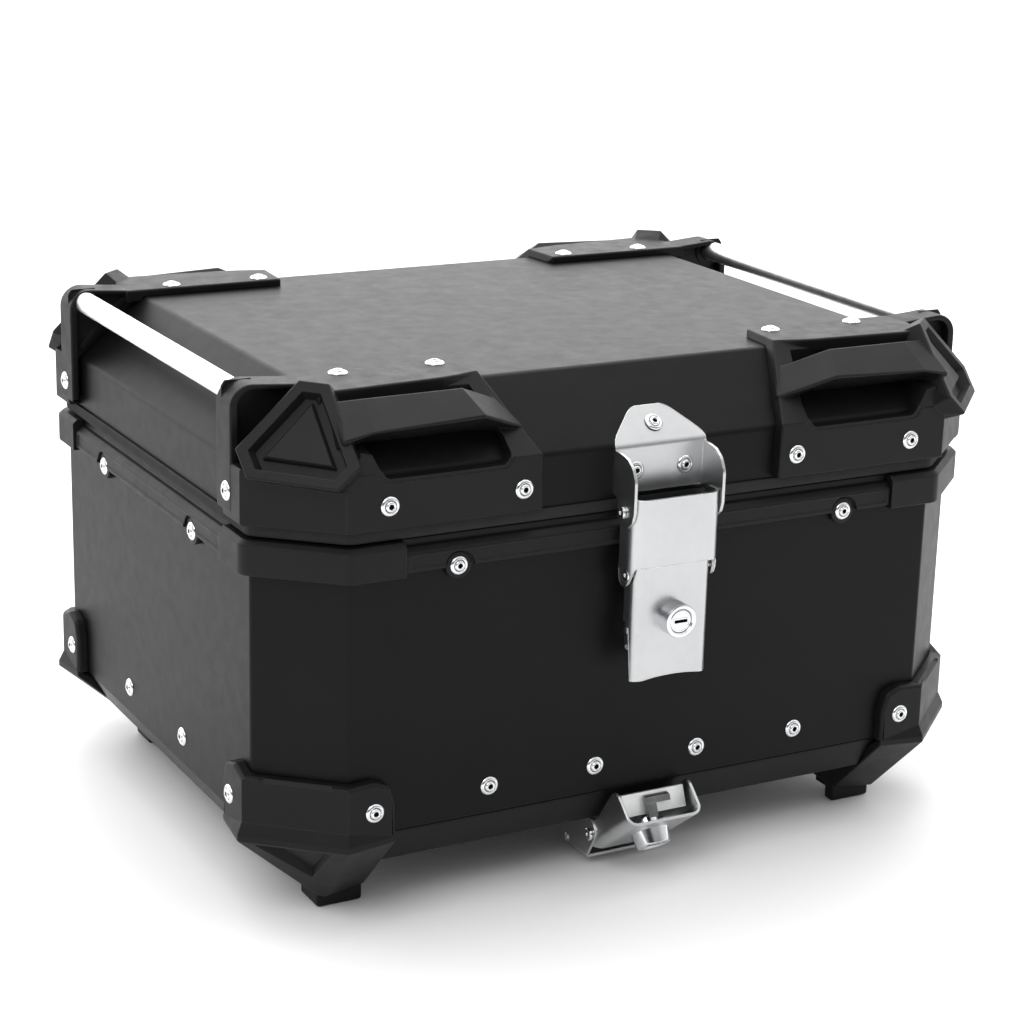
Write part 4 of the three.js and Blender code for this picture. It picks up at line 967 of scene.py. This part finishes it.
l_hi = interp([-190.0, -183.0, -180.0], [157.0, 157.0, 153.0])
lpath = channel_path(21.5, -190.0, -180.0, 6.0)
lpath = sorted(set(lpath) | {(-21.5, -186.3), (-21.5, -185.9), (21.5, -186.3), (21.5, -185.9)}, key=lambda p: 0) if False else lpath
left = [p for p in lpath if p[0] < -21.49]
lp = []
for a, b in zip(lpath, lpath[1:] + [None]):
    lp.append(a)
    if b is not None and abs(a[0]) > 21.49 and abs(b[0]) > 21.49:
        for q in ((-185.9, -186.3) if a[0] < 0 else (-186.3, -185.9)):
            if min(a[1], b[1]) + 0.02 < q < max(a[1], b[1]) - 0.02:
                lp.append((a[0], q))
lever = bent(lp, -1.8, l_lo, lambda u, v: l_hi(v), XY, 0.25)
lever = cut(lever, rod(2.35, (-40, PIN2[0], PIN2[1]), (1, 0, 0), 80, 24), rod(8.3, (0, -200, LOCK_Z), (0, 1, 0), 16, 48))
done(lever, "latch_lever_sheet", "latch_lever", STEEL, ["latch_lever"])

LY = -190.3
barrel = lathe([(6.45, -8.9), (6.6, -9.4), (7.1, -9.8), (8.4, -9.8), (8.95, -9.55), (9.15, -9.05), (9.2, -1.5), (9.35, -1.25), (9.9, -1.1), (10.1, -0.8), (10.1, -0.1), (9.9, 0.0), (7.8, 0.02), (7.8, 10.0), (6.45, 10.0), (6.45, -8.9)],
               (0, LY, LOCK_Z), (0, 1, 0), 56)
done(barrel, "latch_lock_cylinder", "latch_lever", CHROME, ["latch_lock_barrel"])


def keyface(r, depth, tail):
    """A lock plug: a face with a raised ring and a key slot, built along +Z outwards from 0."""
    p = lathe([(0, -depth), (r, -depth), (r, -0.35), (r - 0.25, -0.1), (r - 0.7, 0.0), (r - 1.1, -0.05), (r - 1.25, -0.35), (0, -0.35)], (0, 0, 0), (0, 0, 1), 48)
    frame_ = plate([(-4.6, -1.75), (4.6, -1.75), (4.6, 1.75), (-4.6, 1.75)], -1.0, 0.0, "z", bev=0.01, bs=2, r=0.7, seg=4, bev2=0.25)
    p = join(p, frame_)
    slot_ = plate([(-3.9, -0.85), (3.9, -0.85), (3.9, 0.85), (-3.9, 0.85)], -4.2, 1.0, "z", bev=0.01, bs=1, r=0.2, seg=2)
    p = cut(p, slot_)
    if tail:
        p = join(p, rod(2.35, (0, 0, -depth + 0.5), (0, 0, -1), tail, 20))
    return p


def orient(o, at, z, x=(1, 0, 0)):
    z = Vector(z).normalized()
    x = (Vector(x) - z * z.dot(Vector(x))).normalized()
    y = z.cross(x)
    m = Matrix(((x.x, y.x, z.x, at[0]), (x.y, y.y, z.y, at[1]), (x.z, y.z, z.z, at[2]), (0, 0, 0, 1)))
    o.data.transform(m)
    return o


def shade_slot(o, at, z, depth=1.2):
    """Painted shade: faces deep in the key slot take the dark material, standing for the shade inside the keyway."""
    me = o.data
    z = Vector(z).normalized()
    at = Vector(at)
    for p in me.polygons:
        d = (p.center - at)
        h = d.dot(z)
        r = (d - z * h).length
        p.material_index = 1 if (-4.6 < h < -depth and r < 4.4) else 0
    return o


pl = orient(keyface(6.3, 20.0, 4.0), (0, -199.5, LOCK_Z), (0, -1, 0))
shade_slot(pl, (0, -199.5, LOCK_Z), (0, -1, 0))
done(pl, "latch_key_plug", "latch_key", [CHROME, PAINTED_SHADE], ["latch_lock_plug"])
cam = plate([(-4.2, LOCK_Z + 3.6, 2), (-4.6, LOCK_Z, 2), (-3.4, LOCK_Z - 11, 1.5), (3.4, LOCK_Z - 11, 1.5), (4.6, LOCK_Z, 2), (4.2, LOCK_Z + 3.6, 2)], -178.6, -176.8, "y", bev=0.25, bs=2, seg=4)
cam = cut(cam, rod(2.7, (0, -190, LOCK_Z), (0, 1, 0), 30, 24))
done(cam, "latch_lock_cam", "latch_key", ZINC, ["latch_cam"])

base_ear = [(WY, 104.0, 1), (-178.0, 108.0, 3), (-184.0, 113.5, 3), (-185.8, 117.5, 2), (-185.0, 122.0, 3), (-178.0, 132.0, 3), (WY, 134.0, 1)]
lb = plate([(-17, 102, 2.5), (17, 102, 2.5), (17, 142, 2.5), (-17, 142, 2.5)], WY, WY - T, "y", bev=0.25, bs=2)
lb = cut(lb, plate([(-5.5, 115), (5.5, 115), (5.5, 131), (-5.5, 131)], -180, -160, "y", bev=0.01, bs=1, r=1.0))
lb = join(lb, plate(base_ear, -17, -17 + T, "x", bev=0.25, bs=2), plate(base_ear, 17 - T, 17, "x", bev=0.25, bs=2),
          rod(2.0, (-23.4, *BASE_PIN), (1, 0, 0), 7.2, 28, 0.35), rod(2.0, (16.2, *BASE_PIN), (1, 0, 0), 7.2, 28, 0.35))
done(lb, "latch_base_plate", "body", STEEL, ["latch_base"])
rivets("latch_base_rivets", [((-9, WY - T, 112), (0, -1, 0)), ((9, WY - T, 112), (0, -1, 0)), ((0, WY - T, 137), (0, -1, 0))], "body", r=3.8, shank=5)

# ------------------------------------------------------------------ quick release
XZ = lambda u, v, w: (u, w, v)
mpath = dense(fillet_open([(-24, 0.7), (-24, -25.0, 3.2), (24, -25.0, 3.2), (24, 0.7)], 7), 1.0)
m_front = interp([-25.0, -23.5, -21.8, -17.0, -8.5, -5.5, -2.4, 0.0, 1.0], [-151.5, -152.2, -153.2, -156.0, -161.2, -161.5, -158.5, -155.5, -154.5])
m_rear = interp([-25.0, -23.0, -18.5, -10.0, 1.0], [-129.5, -124.6, -122.0, -122.0, -122.0])
mount = bent(mpath, 1.8, lambda u, v: m_front(v), lambda u, v: m_rear(v), XZ, 0.28)
mount = join(mount, plate([(-24, -154.5), (24, -154.5), (24, -122), (-24, -122)], -2.0, 0.85, "z", bev=0.25, bs=2, r=1.0))
mount = cut(mount, rod(2.35, (-40, *PIV), (1, 0, 0), 80, 24))
done(mount, "quick_release_bracket", "body", STEEL, ["mount_bracket"])
rivets("quick_release_studs", [((-24, -131, -20.5), (-1, 0, 0)), ((24, -131, -20.5), (1, 0, 0))], "body", r=2.4, shank=3.0)
done(lathe(HEAD(2.1, 24.2, 3.6), (0, *PIV), (-1, 0, 0), 32), "quick_release_pivot", "body", RIVET, ["release_pivot_pin"])

FN = Vector((0, -0.614, -0.789)).normalized()
LC = Vector((0, -177.2, -1.4))
DN = Vector((0, FN.z, -FN.y))


def snout_map(u, v, w):
    p = LC + FN * v + DN * w
    return (u, p.y, p.z)


d_hi = interp([-19.8, -19.2, -16.8, -10.0, 0.0], [14.6, 16.6, 18.6, 20.0, 21.6])
d_lo = interp([-19.8, -19.2, -13.7, -11.6, -11.4, -9.0, -3.8, -1.6, 0.0], [14.0, 10.1, -8.0, -19.8, -23.0, -26.2, -27.0, -26.0, -23.4])
spath = dense(fillet_open([(-21.5, -19.7), (-21.5, 0.0, 4.5), (21.5, 0.0, 4.5), (21.5, -19.7)], 8), 0.8)
snout = bent(spath, 1.6, lambda u, v: d_lo(v), lambda u, v: d_hi(v), snout_map, 0.28)
snout = cut(snout, rod(2.35, (-40, *PIV), (1, 0, 0), 80, 24), rod(8.1, tuple(LC - FN * 8), FN, 14, 48))
done(snout, "quick_release_lever_sheet", "release_lever", STEEL, ["release_lever"])
# bright inner jaw with its hook, seen through the mouth
jaw = rhull([(-19.4, -179.0, 21.6), (19.4, -179.0, 21.6), (-19.4, -183.4, 10.6), (19.4, -183.4, 10.6), (-19.4, -177.4, 21.6), (19.4, -177.4, 21.6), (-19.4, -181.6, 9.8), (19.4, -181.6, 9.8)], 0.3, 2)
hook = join(rhull([(-6.5, -184.6, 17.2), (-0.5, -184.6, 17.2), (-6.5, -188.0, 9.8), (-0.5, -188.0, 9.8), (-6.5, -180.6, 17.6), (-0.5, -180.6, 17.6), (-6.5, -183.0, 10.4), (-0.5, -183.0, 10.4)], 0.5, 2),
            rhull([(-6.5, -183.2, 20.0), (8.5, -183.2, 20.0), (-6.5, -184.8, 16.6), (8.5, -184.8, 16.6), (-6.5, -179.6, 20.4), (8.5, -179.6, 20.4), (-6.5, -180.8, 17.0), (8.5, -180.8, 17.0)], 0.4, 2))
jaw = join(jaw, rod(2.0, (-19.4, -177.5, 15.0), (1, 0, 0), 38.8, 20, 0.3))
done(jaw, "quick_release_catch_jaw", "release_lever", BRIGHT, ["release_catch"])
done(hook, "quick_release_catch_hook", "release_lever", GUNMETAL)
rb_ = lathe([(6.45, 9.0), (6.45, -7.0), (7.8, -7.0), (7.8, 0.15), (10.4, 0.2), (10.75, 0.5), (10.7, 1.6), (9.2, 9.0), (8.9, 9.6), (8.4, 9.8), (6.9, 9.8), (6.45, 9.4), (6.45, 9.0)], tuple(LC), FN, 56)
done(rb_, "quick_release_lock_cylinder", "release_lever", CHROME, ["release_lock_barrel"])
fa = LC + FN * 9.3
rp = orient(keyface(6.3, 17.0, 0), tuple(fa), tuple(FN))
# painted shade deep in the key slot of the release lock
shade_slot(rp, tuple(fa), tuple(FN))
done(rp, "quick_release_key_plug", "release_key", [CHROME, PAINTED_SHADE], ["release_lock_plug"])

# torsion spring on the pivot
turns, steps, wr, n8 = 3.5, 100, 0.7, 10
sv, sf = [], []
for i in range(steps + 1):
    t = i / steps
    a = 2 * math.pi * turns * t
    c = Vector((-5 + 10 * t, PIV[0] + 4.2 * math.cos(a), PIV[1] + 4.2 * math.sin(a)))
    tg = Vector((10, -4.2 * 2 * math.pi * turns * math.sin(a), 4.2 * 2 * math.pi * turns * math.cos(a))).normalized()
    rad = Vector((0, math.cos(a), math.sin(a)))
    bi = tg.cross(rad).normalized()
    for k in range(n8):
        q = 2 * math.pi * k / n8
        sv.append(tuple(c + rad * (wr * math.cos(q)) + bi * (wr * math.sin(q))))
for i in range(steps):
    for k in range(n8):
        j = (k + 1) % n8
        sf.append((i * n8 + k, i * n8 + j, (i + 1) * n8 + j, (i + 1) * n8 + k))
sf += [tuple(range(n8)), tuple(range(steps * n8, steps * n8 + n8))]
done(raw(sv, sf), "quick_release_spring", "body", ZINC, ["release_spring"], sharp=60)

# ------------------------------------------------------------------ stage, light, camera
FLOOR = -0.0302
fm = bpy.data.meshes.new("floor")
fm.from_pydata([(-9, -9, FLOOR), (9, -9, FLOOR), (9, 9, FLOOR), (-9, 9, FLOOR)], [], [(0, 1, 2, 3)])
floor = bpy.data.objects.new("floor", fm)
SC.collection.objects.link(floor)
nf_ = Nodes("floor_pale")
nf_.p.inputs["Base Color"].default_value = (0.9, 0.9, 0.9, 1)
nf_.p.inputs["Roughness"].default_value = 0.7
nf_.p.inputs["Specular IOR Level"].default_value = 0.1
fm.materials.append(nf_.m)

world = bpy.data.worlds.new("studio")
SC.world = world
world.use_nodes = True
wt = world.node_tree
wt.nodes.clear()
wo = wt.nodes.new("ShaderNodeOutputWorld")
bg = wt.nodes.new("ShaderNodeBackground")
bgc = wt.nodes.new("ShaderNodeBackground")
bgc.inputs["Color"].default_value = (1, 1, 1, 1)
bgc.inputs["Strength"].default_value = 1.0
mixs = wt.nodes.new("ShaderNodeMixShader")
lpn = wt.nodes.new("ShaderNodeLightPath")
wt.links.new(lpn.outputs["Is Camera Ray"], mixs.inputs[0])
wt.links.new(bg.outputs[0], mixs.inputs[1])
wt.links.new(bgc.outputs[0], mixs.inputs[2])
wt.links.new(mixs.outputs[0], wo.inputs[0])
tcw = wt.nodes.new("ShaderNodeTexCoord")
sep = wt.nodes.new("ShaderNodeSeparateXYZ")
wt.links.new(tcw.outputs["Generated"], sep.inputs[0])


def wmath(op, a, b):
    n = wt.nodes.new("ShaderNodeMath")
    n.operation = op
    for i, v in enumerate((a, b)):
        if isinstance(v, (int, float)):
            n.inputs[i].default_value = v
        else:
            wt.links.new(v, n.inputs[i])
    return n.outputs[0]


def wmap(src, a, b, c, d):
    n = wt.nodes.new("ShaderNodeMapRange")
    n.interpolation_type = "SMOOTHSTEP"
    n.inputs[1].default_value, n.inputs[2].default_value, n.inputs[3].default_value, n.inputs[4].default_value = a, b, c, d
    wt.links.new(src, n.inputs[0])
    return n.outputs[0]


up_ = wmap(sep.outputs["Z"], 0.05, 0.9, 0.55, 1.35)
back_ = wmap(sep.outputs["Y"], 0.25, 0.9, 0.0, 2.0)
right_ = wmap(sep.outputs["X"], 0.3, 0.9, 0.0, 0.5)
front_ = wmap(sep.outputs["Y"], -0.85, -0.1, -0.42, 0.0)
left_ = wmath("MULTIPLY", wmap(sep.outputs["X"], -0.95, -0.55, 0.0, 1.0), wmap(sep.outputs["X"], -0.5, -0.2, 1.0, 0.0))
card = wmath("MULTIPLY", wmath("MULTIPLY", left_, wmap(sep.outputs["Y"], -0.2, 0.1, 1.0, 0.0)), -0.3)
total_ = wmath("ADD", wmath("ADD", wmath("ADD", wmath("ADD", up_, back_), right_), front_), card)
wt.links.new(wmath("MAXIMUM", total_, 0.04), bg.inputs["Strength"])
bg.inputs["Color"].default_value = (1, 1, 1, 1)


def area(name, loc, target, size, power, sy=None):
    l = bpy.data.lights.new(name, "AREA")
    l.shape = "RECTANGLE"
    l.size, l.size_y = size, sy or size
    l.energy = power
    o = bpy.data.objects.new(name, l)
    SC.collection.objects.link(o)
    o.location = loc
    o.rotation_euler = (Vector(target) - Vector(loc)).to_track_quat("-Z", "Y").to_euler()
    return o


area("key", (-1.3, -1.2, 1.7), (0, 0, 0.1), 1.2, 16)
area("top", (0.3, 0.5, 1.9), (0, 0, 0.1), 1.6, 18)

R = [[0.8799195107972813, -0.47446074292020657, 0.025073052185140304], [-0.11686611415156778, -0.2672829727500316, -0.9565051614293666], [0.4605257494227504, 0.8387173635412061, -0.2906358859692015]]
C = (-0.6684629433636351, -1.2315249033510172, 0.5538793117965818)
cam = bpy.data.cameras.new("camera")
cam.sensor_width = 36.0
cam.sensor_fit = "HORIZONTAL"
cam.lens = 2500.882674143718 * 36.0 / 1024.0
cam.clip_start, cam.clip_end = 0.05, 60
co = bpy.data.objects.new("camera", cam)
SC.collection.objects.link(co)
co.matrix_world = Matrix(((R[0][0], -R[1][0], -R[2][0], C[0]), (R[0][1], -R[1][1], -R[2][1], C[1]), (R[0][2], -R[1][2], -R[2][2], C[2]), (0, 0, 0, 1)))
SC.camera = co
SC.view_settings.view_transform = "Standard"
SC.view_settings.look = "None"

bpy.context.view_layer.update()
